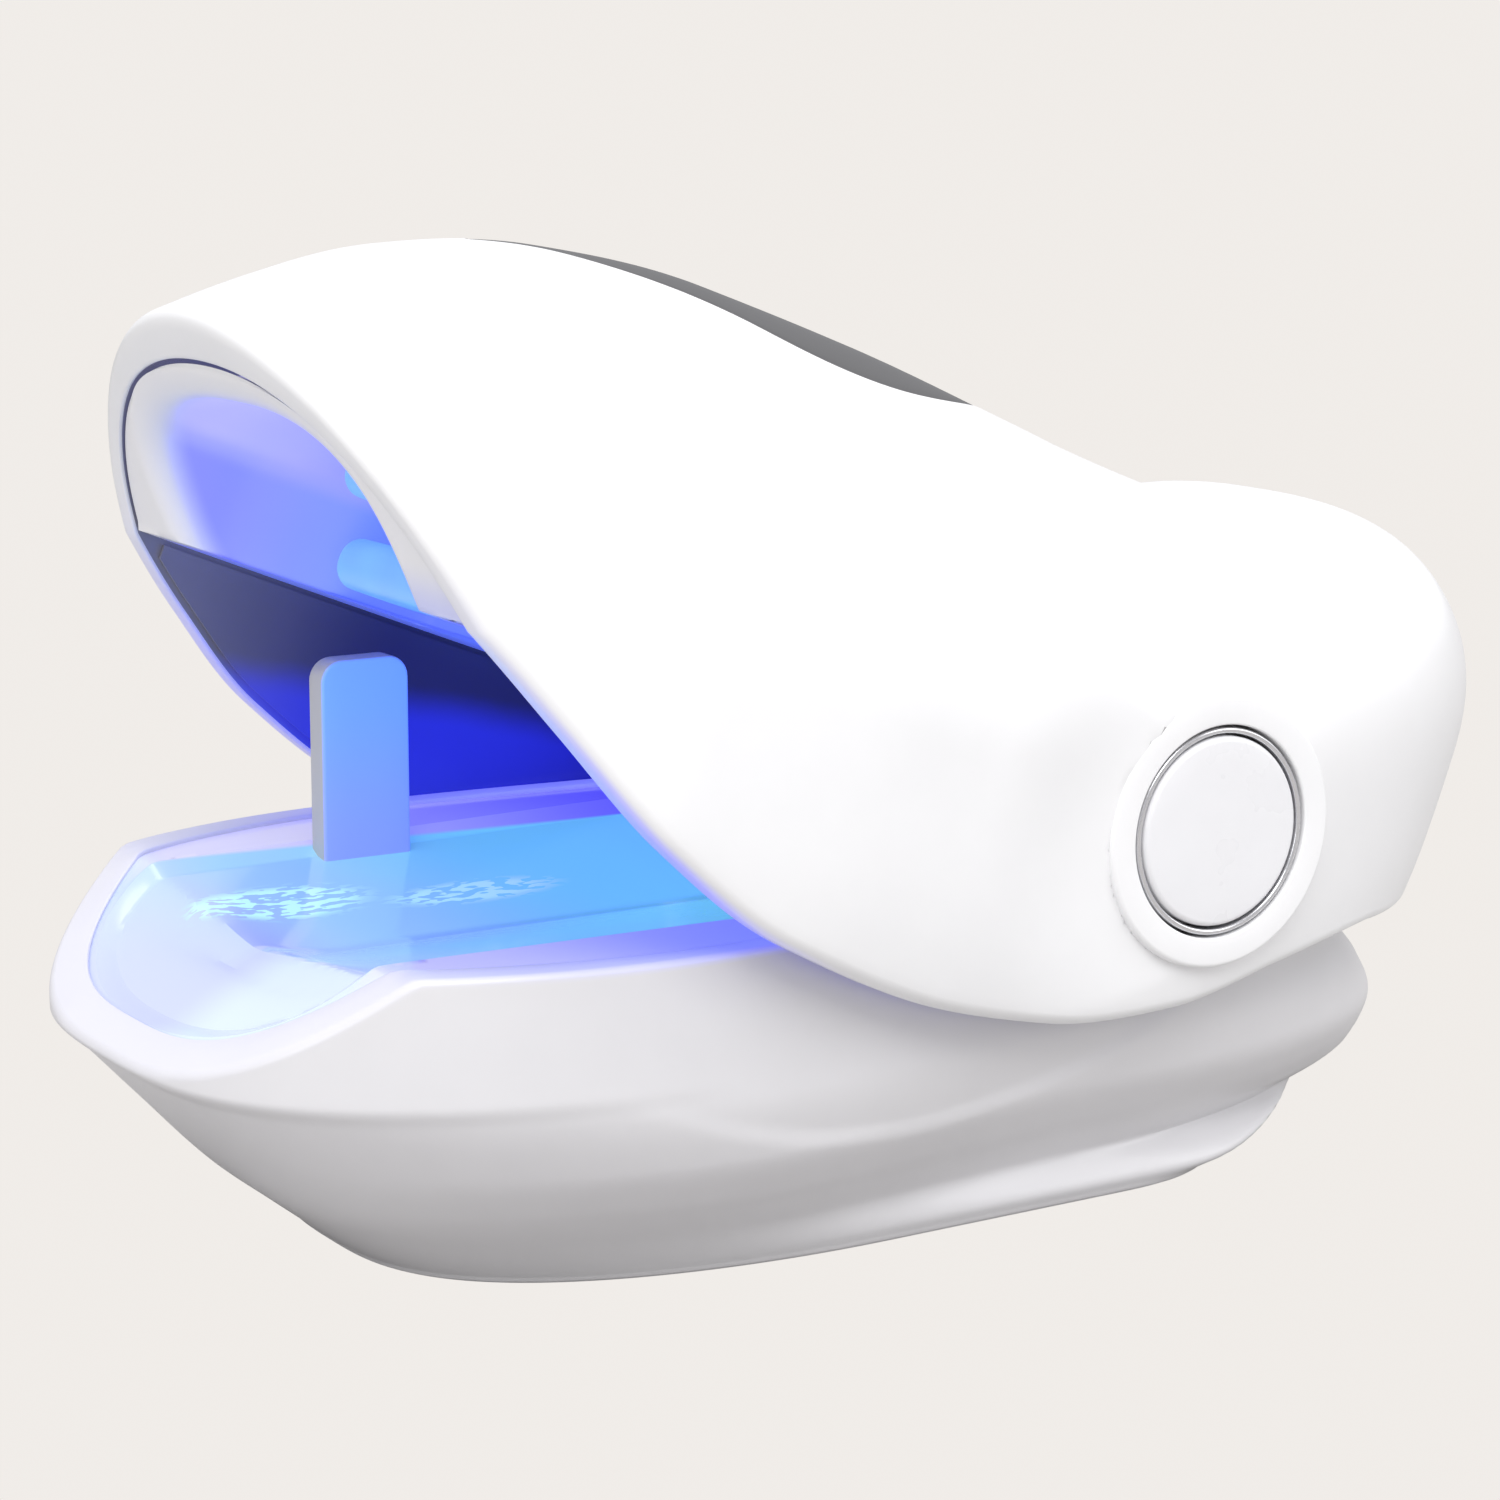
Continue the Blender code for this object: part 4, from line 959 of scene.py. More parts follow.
def spots(obj: bpy.types.Object) -> Array:
    """World x, y and z of an object's points in millimetres, as three rows."""
    co = np.empty(len(obj.data.vertices) * 3)
    obj.data.vertices.foreach_get("co", co)
    return (co.reshape(-1, 3) / MM).T


def mark_edge(obj: bpy.types.Object, share: Array) -> None:
    """Stores a share for each point as the colour attribute that the white finishes read."""
    layer = obj.data.color_attributes.new("edge", "FLOAT_COLOR", "POINT")
    layer.data.foreach_set("color", np.repeat(share, 4).astype(np.float32))


# ---- The lid -----------------------------------------------------------------------------------------
@dataclass
class LidShell:
    """The white cover: outer skin, rounded edge, inner skin, two side bosses and the strip's recess."""

    outer_round: float = 0.85
    inner_round: float = 0.25
    arches: int = 170
    half_count: int = 96
    boss_radius: float = 8.75
    bore_radius: float = 6.85
    boss_face: float = 27.75
    bore_floor: float = 24.9
    ring_back: float = 24.35
    ring_hole: float = 1.5
    blend_radius: float = 19.0
    blend_run: float = 11.0
    sunk_radius: float = 8.35
    sunk_outer: float = 24.25
    sunk_inner: float = 23.7

    def stations(self) -> Array:
        """Where the arches start along the shell's edge."""
        return np.linspace(FIRST_ARCH, LAST_ARCH, self.arches)

    def around(self, inset: float, lift: float) -> Array:
        """The closed loop of the shell's edge: front arch, far side, tail, near side."""
        ends = LID.rings(np.array((FIRST_ARCH, LAST_ARCH)), inset, lift, self.half_count)
        side = LID.edge(self.stations(), lift)[1:-1]
        y = LID.half(side[:, 0], side[:, 1], inset)
        far = np.stack((side[:, 0], y, side[:, 1]), -1)
        return np.concatenate((ends[0], far, ends[1][::-1], (far * MIRROR)[::-1]))

    def settle_boss(self, points: Array, outer: bool) -> Array:
        """Eases the skin toward the boss, and sinks what the boss's own ring covers.

        Args:
            points: Skin points in the closed frame.
            outer: Whether they are the outer skin's, which alone is eased.
        Returns:
            The moved points.
        """
        s, h = points[..., 0] - HINGE_S, points[..., 2] - HINGE_H
        away = np.hypot(s, h)
        out = np.abs(points[..., 1])
        proud = 0.5 + 0.5 * np.cos(np.arctan2(h, s) + math.radians(50))
        limit = self.boss_face + 0.02 - 0.75 * proud
        if outer:
            out = out + np.minimum(limit - out, 0) * ease((self.blend_radius - away) / self.blend_run)
        under = ease((self.sunk_radius - away) / 0.6)
        depth = self.sunk_outer if outer else self.sunk_inner
        out = out + (np.minimum(depth, out) - out) * under
        return np.stack((points[..., 0], np.sign(points[..., 1]) * out, points[..., 2]), -1)

    def build(self, finishes: Finishes) -> None:
        """Makes the shell and its two boss rings."""
        mesh = Mesh()
        outer, inner = self.outer_round, self.inner_round
        skin = self.settle_boss(LID.rings(self.stations(), 0.0, outer, self.half_count), True)
        lining = self.settle_boss(LID.rings(self.stations(), WALL, inner, self.half_count), False)
        top = mesh.add(skin)
        first, land = self.around(0.0, outer), self.around(outer, 0.0)
        rows = fillet(first, self.around(outer, outer), land, 6) + [land]
        middle = self.around(WALL / 2, 0.0)
        last_land, last = self.around(WALL - inner, 0.0), self.around(WALL, inner)
        rows += [middle, last_land] + fillet(last_land, self.around(WALL - inner, inner), last, 2)
        bottom = mesh.add(lining)
        band = mesh.add(np.stack(rows))
        mesh.quads(top)
        mesh.quads(np.r_[border(top)[None], band, border(bottom)[None]], flip=True, around=True)
        mesh.quads(bottom, flip=True, paint=1)
        obj = mesh.make("lid_shell_skin", True)
        carve(obj, DisplayStrip().solid(0.16, 3.0, -1.15).make("recess_cutter", True))
        self.mark(obj)
        finishes.dress(obj, "lid_white", "smoked_liner")
        settle(obj, "lid", "shell", "lid_shell")
        for side, name in SIDES:
            profile = rounded([
                (self.ring_hole, self.bore_floor, 0), (self.bore_radius, self.bore_floor, 0),
                (self.bore_radius, self.boss_face, 0.14), (self.boss_radius, self.boss_face, 0.32),
                (self.boss_radius + 0.28, self.ring_back, 0), (self.ring_hole, self.ring_back, 0)])
            ring = turned(profile, side).make(f"boss_ring_{name}", True)
            mark_edge(ring, np.zeros(len(ring.data.vertices)))
            finishes.dress(ring, "lid_white")
            settle(ring, "lid", "shell")

    def mark(self, obj: bpy.types.Object) -> None:
        """Marks the points of the rounded edge: those that lie between the outer skin and the inner one."""
        x, y, z = spots(obj)
        s, h = closed(x, z)
        above = h - LID.skirt(s)
        gap = np.where(s < 0, (s + FACE_LEAN * h) * FACE_SQUARE, above * 0.9)
        deep = LID.half(s, np.maximum(h, -14), 0.0) - np.abs(y)
        mark_edge(obj, (ease((0.5 - gap) / 0.4) * ease((deep - 0.1) / 0.5)).clip(0, 1))


@dataclass
class DisplayStrip:
    """The smoked leaf along the lid's ridge."""

    start: float = 4.5
    end: float = 45.0
    width: float = 15.5

    def half(self, share: Array, margin: float) -> Array:
        """Half width along the leaf: a sine of the share, to the power 0.8."""
        return self.width * np.maximum(np.sin(math.pi * share), 0) ** 0.8 + margin

    def solid(self, margin: float, above: float, below: float, lens: float = 0.0) -> Mesh:
        """A leaf-shaped solid that follows the lid's top.

        Args:
            margin: How much wider than the leaf.
            above: Height of its top over the lid's skin.
            below: Height of its underside over the lid's skin.
            lens: How far its rounded rim drops.
        Returns:
            A closed mesh.
        """
        share = (1 - np.cos(np.linspace(0, math.pi, 90))) / 2
        station = self.start - margin + (self.end - self.start + 2 * margin) * share
        edge = np.array((0.93, 0.96, 0.985, 1.0))
        across = np.r_[-edge[::-1], np.linspace(-0.88, 0.88, 25), edge]
        s, v = np.meshgrid(station, across, indexing="ij")
        inner = (share > 0) & (share < 1)
        y = v * (self.half(share, margin) * inner)[:, None]
        high = LID.top(s, y) + above - lens * np.clip((np.abs(v) - 0.93) / 0.07, 0, 1) ** 2
        return plate(np.stack((s, y, high), -1), np.stack((s, y, LID.top(s, y) + below), -1))

    def build(self, finishes: Finishes) -> None:
        """Makes the window."""
        finishes.fit(self.solid(0.0, -0.04, -1.0, 0.12), "display_strip", "strip_black", "lid", "window",
                     "display_window", sharp=30)


@dataclass
class LightChamber:
    """The pale insert: a face inside the mouth, a soft-edged arch, the cavity and the deck."""

    recess: float = 0.35
    soft: float = 1.5
    thick: float = 1.4
    floor: float = 0.4
    end: float = 17.0
    power: float = 2.6
    flange: float = 1.9
    narrowing: float = 0.14
    deck_end: float = 44.0
    deck_thick: float = 1.0
    tab_slot: tuple[float, ...] = (10.6, 18.7, 13.2, 16.8, 0.6)
    plan: Curve = Curve(((-16, 16.2), (2, 16.0), (7, 14.0), (11, 12.3), (18, 12.3)))
    roof: Curve = Curve(((-16, 8.0), (-8, 8.8), (-2, 10.8), (4, 12.0), (18, 12.0)))

    def arch(self, depth: Array, grow: Array, count: int) -> Array:
        """Arches at a depth behind the face plane, measured level to the rear.

        Args:
            depth: Depth of each arch's foot.
            grow: How much larger each arch is than the cavity.
            count: Steps round each arch.
        Returns:
            Points (arches, count + 1, 3); each leans with the face near the mouth and stands up further in.
        """
        turn = np.linspace(0, math.pi, count + 1)
        upright = ease((depth - 1.0) / 12)[:, None]
        start = depth[:, None]
        guess = np.broadcast_to(start, (len(depth), count + 1))
        power = self.power
        reach = (np.abs(np.cos(turn)) ** power + np.abs(np.sin(turn)) ** power) ** (-1 / power)
        for _ in range(12):
            half = self.plan(guess) + grow[:, None]
            tall = self.roof(guess) + grow[:, None] - self.floor
            height = self.floor + tall * reach * np.sin(turn)
            guess = start - FACE_LEAN * height * (1 - upright)
        y = -half * reach * np.cos(turn)
        return np.stack((guess, y, height), -1)

    def build(self, finishes: Finishes) -> None:
        """Makes the insert with its cavity, and the deck beside and behind it."""
        count = 120
        turn = np.linspace(0, math.pi / 2, 9)
        outer = LID.rings(np.array((0.0,)), WALL + FIT, self.recess, count // 2)[0]
        # The outer arch is cut level at the deck, which its lowest points are lifted to.
        keep = outer[:, 2] >= self.floor
        reach = np.linspace(0, 1, count + 1)
        run = np.r_[0, np.linalg.norm(np.diff(outer[keep], axis=0), axis=1).cumsum()]
        outer = np.stack([np.interp(reach * run[-1], run, outer[keep][:, k]) for k in range(3)], -1)
        outer[[0, -1], 2] = self.floor
        lip = self.arch(np.array((self.recess,)), np.array((self.soft,)), count)[0]
        face = [outer + (lip - outer) * f for f in np.linspace(0, 1, 8)[:-1]]
        step = np.array((self.flange, 0, 0))
        back = face[0] + step
        straight = np.linspace(3.2, self.end - 2.0, 22)
        depth = np.r_[self.recess + self.soft * 1.3 * (1 - np.cos(turn)), straight]
        grow = np.r_[self.soft * (1 - np.sin(turn)), np.zeros_like(straight)]
        tunnel = self.arch(depth, grow, count)
        last = tunnel[-1]
        centre = np.array((0.0, 0.0, self.floor))
        wall: list[Array] = []
        for angle in turn[1:]:
            share = 1 - self.narrowing * (1 - math.cos(angle))
            wall.append(np.stack((last[:, 0] + 2.0 * math.sin(angle), last[:, 1] * share,
                                  self.floor + (last[:, 2] - self.floor) * share), -1))

        def fan(ring: Array, shares: Sequence[float]) -> list[Array]:
            """Copies of a ring drawn in to the middle of the floor by each share."""
            return [ring * (1, 1 - f, 1) - (ring - centre) * (0, 0, 1) * f for f in shares]

        shell = self.arch(np.linspace(self.end + self.thick, 3.4, 24), np.full(24, self.thick), count)
        shell[:, :, 0] = np.minimum(shell[:, :, 0], self.end + self.thick)
        flange = [back + (lip + step - back) * f for f in (1.0, 0.6, 0.3)]
        shares = (0.3, 0.6, 0.85, 1.0)
        mesh = Mesh()
        index = mesh.add(np.stack([back, *face, *tunnel, *wall, *fan(wall[-1], shares),
                                   *fan(shell[0], shares[::-1]), *shell, *flange]))
        mesh.quads(np.r_[index, index[:1]])
        half_rows = len(index) // 2
        for column, flip in ((0, False), (-1, True)):
            edge = index[:, column]
            mesh.quads(np.stack((edge[:half_rows], edge[::-1][:half_rows])), flip=flip)
        finishes.fit(mesh, "light_chamber_insert", "chamber", "lid", "insert", "light_chamber", sharp=50)
        self.deck(finishes)

    def deck(self, finishes: Finishes) -> None:
        """Two plates of the deck, near and far, from the cavity's walls out to the skirts."""
        station = np.r_[np.linspace(0.9, 17.5, 40), np.linspace(17.6, self.deck_end, 30)]
        across = np.linspace(0, 1, 12)
        inner = np.where(station < self.end + 0.5, self.plan(station) + 0.4, 0.02)[:, None]
        for side, name in SIDES:
            layers = []
            for height in (self.floor, self.floor + self.deck_thick):
                outer = LID.half(station, np.full_like(station, height), WALL + FIT + 0.02)[:, None]
                y = inner + (outer - inner) * across
                s = np.broadcast_to(station[:, None], y.shape)
                layers.append(np.stack((s, side * y, np.full_like(y, height)), -1))
            obj = plate(*layers).make(f"chamber_deck_{name}", True)
            if side > 0:
                slot = slab(box_outline(*self.tab_slot), -1.0, 3.0, 0.1, lambda p, z: np.c_[p, z])
                carve(obj, slot.make("slot_cutter", True))
            finishes.dress(obj, "chamber")
            settle(obj, "lid", "insert")


@dataclass
class Linings:
    """The smoked linings of the two skirts."""

    first: float = 2.6
    last: float = 42.8

    def build(self, finishes: Finishes) -> None:
        """Each lining is a thin band between the deck and a line over the skirt's edge."""
        station = np.linspace(self.first, self.last, 80)
        up = np.linspace(0, 1, 26)
        low = LID.skirt(station) + 0.8
        height = low[:, None] + (0.05 - low)[:, None] * up
        s = np.broadcast_to(station[:, None], height.shape)
        for side, name in SIDES:
            sheets = [np.stack((s, side * LID.half(s, height, WALL + FIT + g), height), -1)
                      for g in (0.08 - FIT, 0.32 - FIT)]
            finishes.fit(plate(*sheets), f"skirt_lining_{name}", "smoked_liner", "lid", "liner",
                         f"skirt_liner_{name}")


@dataclass
class LightBars:
    """The two frosted bars of light on the chamber's rear wall: front, half width, underside and top."""

    bars: tuple[tuple[str, float, float, float, float], ...] = (
        ("light_bar_lower", 8.3, 11.6, 1.0, 4.4), ("light_bar_upper", 5.2, 8.6, 6.6, 10.0))

    def build(self, finishes: Finishes) -> None:
        """Each bar keeps the size of its CAD node, with full rounded edges."""
        for name, front, half, low, high in self.bars:
            mesh = slab(box_outline(-half, half, low, high, 1.6), front + 0.05, 15.55, 1.3,
                        lambda p, z: np.c_[z, p], 8)
            finishes.fit(mesh, f"{name}_frosted", "diffuser", "lid", "light_bar", name, sharp=60)


@dataclass
class SideFittings:
    """Button, cap and bright rings in the bosses."""

    radius: float = 6.1
    face: float = 27.76

    def disc(self, side: int, stem: float) -> Mesh:
        """A disc with a rounded edge, a very slight crown and a stem that ends at a half width."""
        crown = [(r, self.face - 0.05 * (r / self.radius) ** 2) for r in (0.0, 2.0, 4.0)]
        edge = rounded([(4.5, self.face - 0.03, 0), (self.radius, self.face - 0.06, 0.38),
                        (self.radius, 25.95, 0.1), (1.4, 25.95, 0), (1.4, stem, 0), (0.0, stem, 0)], 7)
        return turned(np.r_[np.array(crown), edge], side)

    def build(self, finishes: Finishes) -> None:
        """Makes the disc of each side and the ring round it."""
        finishes.fit(self.disc(-1, 23.55), "power_button_disc", "cap_white", "button", "cap", "power_button")
        finishes.fit(self.disc(1, 25.2), "hinge_cap_disc", "cap_white", "lid", "cap", "hinge_cap")
        profile = rounded([(6.28, 25.25, 0), (6.66, 25.25, 0), (6.66, 27.6, 0.17), (6.28, 27.6, 0.17)], 6)
        for side, name in SIDES:
            finishes.fit(turned(profile, side), f"bright_ring_{name}", "chrome", "lid", "chrome",
                         f"trim_ring_{name}", sharp=60)


# ---- The base ----------------------------------------------------------------------------------------
@dataclass
class BaseShell:
    """The white tub: outer wall with its crease, rounded rim, inner wall and the foot."""

    rim_round: float = 0.4
    inner_round: float = 0.2
    foot_round: float = 0.5
    shoulder: float = -12.5
    socket: tuple[float, ...] = (-4.8, 4.8, -15.9, -12.1, 1.7)
    socket_run: tuple[float, float] = (80.6, 88.6)
    crease: Curve = Curve(((0, -3.0), (10.8, -7.6), (20, -11.3), (26.9, -12.9), (33.9, -13.5), (45, -12.2),
                           (56.5, -8.0), (70, -1.0), (90, 4.0)))

    def places(self) -> Array:
        """Places round half a waterline, close together at the bow and the tail."""
        return np.r_[np.linspace(0, 1, 64)[:-1], np.linspace(1, 2, 42)[:-1], np.linspace(2, 3, 64)]

    @staticmethod
    def both(points: Array) -> Array:
        """Half rings made whole by adding their mirror image, without doubling the ends."""
        return np.concatenate((points, (points * MIRROR)[:, -2:0:-1]), axis=1)

    def recessed(self, points: Array) -> Array:
        """Sinks the wall a little above the crease, where the closed lid's skirt lies."""
        above = ease((points[..., 2] - self.crease(points[..., 0])) / 1.5 + 0.5)
        fade = ease((points[..., 0] - 8) / 16) * ease((80 - points[..., 0]) / 10)
        scale = 1 - 0.3 * above * fade / np.maximum(np.abs(points[..., 1]), 5.0)
        return points * np.stack((np.ones_like(scale), scale, np.ones_like(scale)), -1)

    def edge(self, inset: float, drop: float) -> Array:
        """The rim's loop at an inset and a drop below the rim."""
        place = self.places()
        return self.both(BASE.ring(place, BASE.rim_height(place, inset, drop), inset)[None])[0]

    def wall(self, inset: float, drop: float, low: float, rows: int, lift: float = 0.0) -> Array:
        """Rows of one wall from a low level up to the rim.

        Args:
            inset: How far inside the outer form.
            drop: How far below the rim the wall ends.
            low: Lowest level.
            rows: Rows above the shoulder; the part below it gets as many again.
            lift: How far lower the form is read, which keeps an inner wall above the outer one.
        Returns:
            Points (2 * rows, around, 3).
        """
        place, shoulder = self.places(), self.shoulder
        high = BASE.rim_height(place, inset, drop)
        upper = shoulder + (high - shoulder) * np.linspace(0, 1, rows)[:, None]
        lower = np.broadcast_to(np.linspace(low, shoulder, rows, endpoint=False)[:, None], (rows, len(place)))
        height = np.r_[lower, upper]
        read = np.maximum(height - lift * np.clip((-8 - height) / 6, 0, 1), BASE.foot)
        points = BASE.ring(np.broadcast_to(place, height.shape), read, inset)
        points[..., 2] = height
        return self.both(points)

    def build(self, finishes: Finishes) -> None:
        """Makes the shell, with the slot of the charging socket cut through its tail."""
        mesh = Mesh()
        r, q, f = self.rim_round, self.inner_round, self.foot_round
        outside = self.recessed(self.wall(0.0, r, BASE.foot + f, 52))
        inside = self.wall(WALL, q, BASE.foot + 0.1, 26, 2.2)
        out = mesh.add(outside)
        inn = mesh.add(inside)
        land = self.recessed(self.edge(r, 0.0))
        rim = fillet(outside[-1], self.recessed(self.edge(r, r)), land, 5)
        last = self.edge(WALL - q, 0.0)
        rim += [land, (land + last) / 2, last] + fillet(last, self.edge(WALL - q, q), inside[-1], 2)
        band = mesh.add(np.stack(rim))
        mesh.quads(out, around=True)
        mesh.quads(np.r_[out[-1:], band, inn[-1:]], around=True)
        mesh.quads(inn[::-1], around=True)
        place = self.places()
        low = np.full(place.shape, BASE.foot)
        sole = self.both(BASE.ring(place, low, f)[None])[0]
        corner = sole + np.array((0, 0, f))
        ground = fillet(outside[0], corner, sole, 4) + [sole]
        ground.append(self.both(BASE.ring(place, low, WALL)[None])[0])
        foot = mesh.add(np.stack(ground))
        mesh.quads(np.r_[out[:1], foot, inn[:1]][::-1], around=True)
        obj = mesh.make("base_shell_skin", False)
        slot = slab(box_outline(*self.socket), *self.socket_run, 0.05, lambda p, z: np.c_[z, p])
        carve(obj, slot.make("socket_cutter", False))
        self.mark(obj)
        finishes.dress(obj, "base_white")
        settle(obj, "base", "shell_base", "base_shell")

    def mark(self, obj: bpy.types.Object) -> None:
        """Marks the points of the rim, for its tinge."""
        x, _, z = spots(obj)
        s, h = x - MOUTH_X, z - RIM_Z
        below = (BASE.rim(s) - h) / np.where(s < 0, 1.22, 1.0)
        mark_edge(obj, ease((0.6 - below) / 0.5))


@dataclass
class Tray:
    """The tray: a level ledge, a chamfer, and a shallow faceted trough that follows the mouth's lip."""

    end: float = 44.0
    sink: float = 0.3
    thick: float = 1.8
    trough: float = 16.0
    growth: float = 0.05
    lip: float = 8.15
    chamfer: float = 1.5
    chamfer_depth: float = 0.78
    dish: float = 2.4
    gap: float = 0.07

    @staticmethod
    def across() -> Array:
        """Shares of the half width from -1 to 1, closer together at the sides."""
        return np.sin(np.linspace(-math.pi / 2, math.pi / 2, 141))

    def wide(self, s: Array) -> Array:
        """Half width of the trough at a station."""
        return self.trough + self.growth * np.maximum(s, 0)

    def height(self, s: Array, y: Array) -> Array:
        """Ledge height less the chamfer's and the dish's depth at a distance inside the trough's outline."""
        ledge = dip(s) - self.sink
        wide = self.wide(s)
        across = np.abs(y) / wide
        f = across**2.3 + (np.minimum(s, 0) / self.lip) ** 2 - 1
        slope = np.hypot(2.3 * across**1.3 / wide, 2 * np.minimum(s, 0) / self.lip**2)
        inside = np.minimum(np.where(s < 0, -f / np.maximum(slope, 0.06), 99.0), wide - np.abs(y))
        inside = np.maximum(inside, 0)
        bevel = self.chamfer_depth * np.clip(inside / self.chamfer, 0, 1)
        fall = np.clip((inside - self.chamfer) / (wide - self.chamfer), 0, 1)
        deep = self.dish * np.minimum(fall * 1.04, 1.0) * ease((s + self.lip) / 14)
        return ledge - bevel - deep

    def paths(self) -> tuple[Array, Array]:
        """The trough's and the tray's outlines in plan, point for point: near side, front, far side."""
        v = self.across()
        along = np.linspace(0, self.end, 90)[1:]
        probe = np.linspace(-8.6, 0, 400)
        half = BASE.half(probe, BASE.rim(probe), WALL + self.gap)
        y_corner = half[-1]
        s_out = np.interp(np.abs(v) * y_corner, half, probe)
        front_t = np.stack((-self.lip * np.sqrt(np.maximum(1 - np.abs(v) ** 2.3, 0)), self.trough * v), -1)
        front_o = np.stack((np.minimum(s_out, front_t[:, 0] - 0.04), y_corner * v), -1)
        side_t = np.stack((along, self.wide(along)), -1)
        side_o = np.stack((along, BASE.half(along, np.zeros_like(along), WALL + self.gap)), -1)
        return (np.concatenate(((side_t * MIRROR[:2])[::-1], front_t, side_t)),
                np.concatenate(((side_o * MIRROR[:2])[::-1], front_o, side_o)))

    def build(self, finishes: Finishes) -> None:
        """Makes the trough, its ledge, the side wall and the underside as one closed piece."""
        mesh = Mesh()
        inner, outer = self.paths()
        along = np.linspace(0, self.end, 90)
        lip = inner[89:-89]
        share = along / self.end
        # Between the front outline and the far end, stations run straight back at each share of the width.
        s = lip[:, 0] + (self.end - lip[:, 0]) * share[:, None] ** 1.25
        y = self.across() * self.wide(s)
        s[:, 0], s[:, -1] = along, along
        y[:, 0], y[:, -1] = -self.wide(along), self.wide(along)
        trough = np.stack((s, y, self.height(s, y)), -1)
        path = np.linspace(0, 1, 5)[:, None, None]
        plan = inner + (outer - inner) * path
        ledge_z = dip(plan[..., 0]) - self.sink
        ledge_z[0] = self.height(plan[0, :, 0], plan[0, :, 1])
        ledge = np.concatenate((plan, ledge_z[..., None]), -1)
        foot = ledge[-1] - (0, 0, self.thick)
        top = mesh.add(trough)
        rim = mesh.add(np.concatenate((ledge, foot[None])))
        mesh.quads(top)
        mesh.quads(rim)
        under = mesh.add(trough - (0, 0, self.thick))
        below = mesh.add(ledge[::-1] - (0, 0, self.thick))
        mesh.quads(under, flip=True)
        mesh.quads(below)
        end = np.r_[rim[4::-1, 0], top[-1], rim[:5, -1]]
        low = np.r_[below[:, 0], under[-1], below[::-1, -1]]
        mesh.quads(np.stack((end, low)))
        finishes.fit(mesh, "tray_dish", "tray_gloss", "base", "tray", "tray", sharp=18)


@dataclass
class Tab:
    """The upright interlock tab on the far side of the tray."""

    side: tuple[float, ...] = (11.42, 17.88, -6.3, 12.18)
    across: tuple[float, float] = (13.97, 16.03)
    foot_corner: float = 0.3
    top_corner: float = 1.5
    edge: float = 0.28

    def build(self, finishes: Finishes) -> None:
        """A blade with rounded top corners and softly rounded edges."""
        mesh = slab(box_outline(*self.side, self.foot_corner, self.top_corner), *self.across, self.edge,
                    lambda p, z: np.c_[p[:, 0], z, p[:, 1]])
        finishes.fit(mesh, "interlock_blade", "tab_blade", "base", "tab", "interlock_tab", sharp=60)


@dataclass
class Underside:
    """The foot pads in finer form than the CAD's."""

    radius: float = 3.98
    pads: tuple[tuple[float, float], ...] = ((17.5, -8.8), (17.5, 8.8), (54.5, -11.0), (54.5, 11.0))

    def build(self, finishes: Finishes) -> None:
        """Makes four turned pads with rounded edges."""
        turn = np.linspace(0, 2 * math.pi, 64, endpoint=False)
        circle = np.stack((np.cos(turn), np.sin(turn)), -1)
        for number, at in enumerate(self.pads, 1):
            pad = slab(lambda by, at=at: at + (self.radius - by) * circle, -RIM_Z, -21.7, 0.25,
                       lambda p, z: np.c_[p, z])
            finishes.fit(pad, f"foot_pad_{number}_soft", "rubber", "base", "rubber", f"foot_pad_{number}",
                         sharp=60)


@dataclass
class InnerParts:
    """The CAD nodes that stay, each with its own finish."""

    finish_of: tuple[tuple[str, str], ...] = (
        ("screw", "steel"), ("board", "board"), ("emitter_led", "emitter"), ("hinge_shaft", "steel"),
        ("hinge_bush", "brass"), ("friction_washer", "rubber"), ("hinge_frame", "black_plastic"),
        ("hinge_pedestal", "black_plastic"), ("interlock_sensor", "black_plastic"),
        ("tact_switch", "black_plastic"), ("switch_plunger", "cap_white"),
        ("display_module", "black_plastic"), ("battery_cell", "foil"),
        ("charging_socket", "steel"), ("bottom_cover", "grey_cover"), ("foot_pad", "rubber"),
    )

    def build(self, finishes: Finishes) -> None:
        """Dresses every CAD node still shown; a screw of a board is steel, so screws are matched first."""
        for name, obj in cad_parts.items():
            if obj.hide_render:
                continue
            match = next((finish for key, finish in self.finish_of if key in name), "cap_white")
            finishes.dress(obj, match)
            log.info("%s keeps its CAD shape with finish %s", name, match)


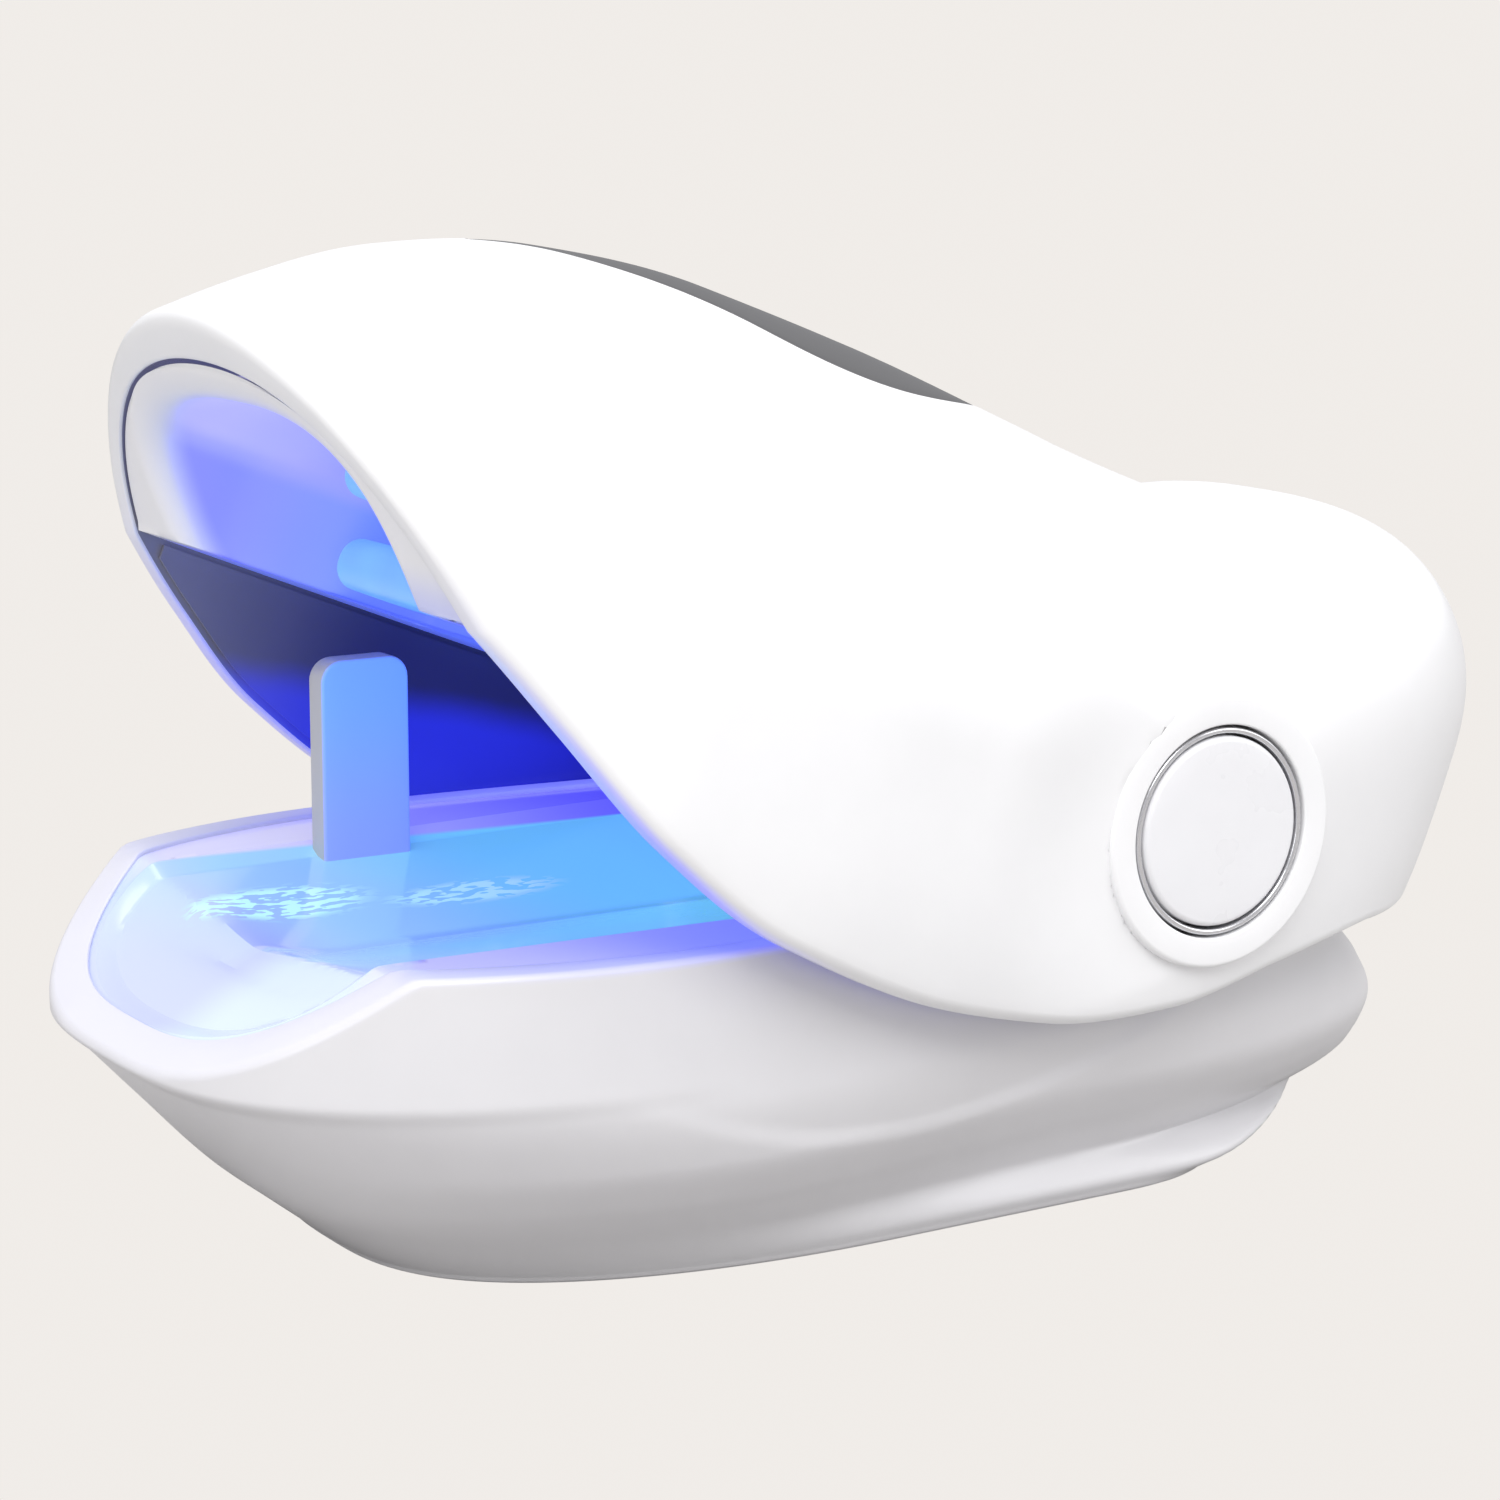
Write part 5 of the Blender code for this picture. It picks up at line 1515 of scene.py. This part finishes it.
# ---- Studio ------------------------------------------------------------------------------------------
@dataclass
class Studio:
    """Pale floor, even sky, soft lights and the camera."""

    backdrop: Colour = srgb(240, 236, 232)
    ambient: Colour = (0.62, 0.62, 0.64)
    lights: tuple[tuple[str, tuple[float, float, float], float, float], ...] = (
        ("key", (-0.30, -0.50, 0.70), 0.5, 4.6), ("top", (0.10, 0.05, 0.80), 0.7, 3.9),
        ("side", (0.55, -0.40, 0.35), 0.5, 1.4), ("front", (-0.75, -0.22, 0.10), 0.5, 1.8))

    def floor(self) -> None:
        """A wide pale floor: an even glow to the camera and a grey matt to other rays."""
        bpy.ops.mesh.primitive_plane_add(size=8.0, location=(0, 0, -0.0002))
        obj = bpy.context.object
        obj.name = "floor"
        paint = Paint("floor_pale")
        rays = paint.node("ShaderNodeLightPath", {}, {}, "Is Camera Ray")
        glow = paint.node("ShaderNodeEmission", {}, {"Color": self.backdrop, "Strength": 1.0})
        matt = paint.node("ShaderNodeBsdfDiffuse", {}, {"Color": (0.42, 0.41, 0.40)})
        mixed = paint.node("ShaderNodeMixShader", {}, {0: rays, 1: matt, 2: glow})
        paint.tree.links.new(mixed.socket, paint.tree.nodes["Material Output"].inputs[0])
        obj.data.materials.append(paint.material)

    def sky(self) -> None:
        """An even pale sky."""
        paint = Paint("studio", world=True)
        rays = paint.node("ShaderNodeLightPath", {}, {}, "Is Camera Ray")
        paint.feed(Color=paint.mix(rays, self.ambient, self.backdrop))
        bpy.context.scene.world = paint.material

    def light(self, name: str, at: tuple[float, float, float], size: float, power: float) -> None:
        """A square soft white light aimed at the device."""
        data = bpy.data.lights.new(name, "AREA")
        data.shape, data.size, data.energy = "SQUARE", size, power
        obj = bpy.data.objects.new(name, data)
        obj.location = at
        obj.rotation_euler = (Vector((0, 0, 0.03)) - Vector(at)).to_track_quat("-Z", "Y").to_euler()
        bpy.context.scene.collection.objects.link(obj)

    def camera(self) -> None:
        """A long lens from the front left, a little above the device."""
        data = bpy.data.cameras.new("camera")
        data.sensor_width, data.lens = 36.0, 88.63
        data.clip_start, data.clip_end = 0.01, 20
        obj = bpy.data.objects.new("camera", data)
        yaw, pitch, roll = math.radians(32.5), math.radians(11.1), math.radians(0.15)
        ahead = Vector((math.sin(yaw) * math.cos(pitch), math.cos(yaw) * math.cos(pitch), -math.sin(pitch)))
        obj.location = (-0.1343, -0.2033, 0.0763)
        obj.rotation_euler = ahead.to_track_quat("-Z", "Y").to_euler()
        obj.rotation_euler.rotate_axis("Z", roll)
        bpy.context.scene.collection.objects.link(obj)
        bpy.context.scene.camera = obj

    def build(self) -> None:
        """Sets the stage."""
        self.floor()
        self.sky()
        for light in self.lights:
            self.light(*light)
        self.camera()
        bpy.context.scene.view_settings.view_transform = "Standard"


def main() -> None:
    """Builds every piece."""
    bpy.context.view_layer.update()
    finishes = Finishes()
    for part in (LidShell(), DisplayStrip(), LightChamber(), Linings(), LightBars(), SideFittings(),
                 BaseShell(), Tray(), Tab(), Underside(), InnerParts()):
        part.build(finishes)
    Studio().build()


if __name__ == "__main__":
    logging.basicConfig(level=logging.INFO, format="%(name)s: %(message)s")
    main()
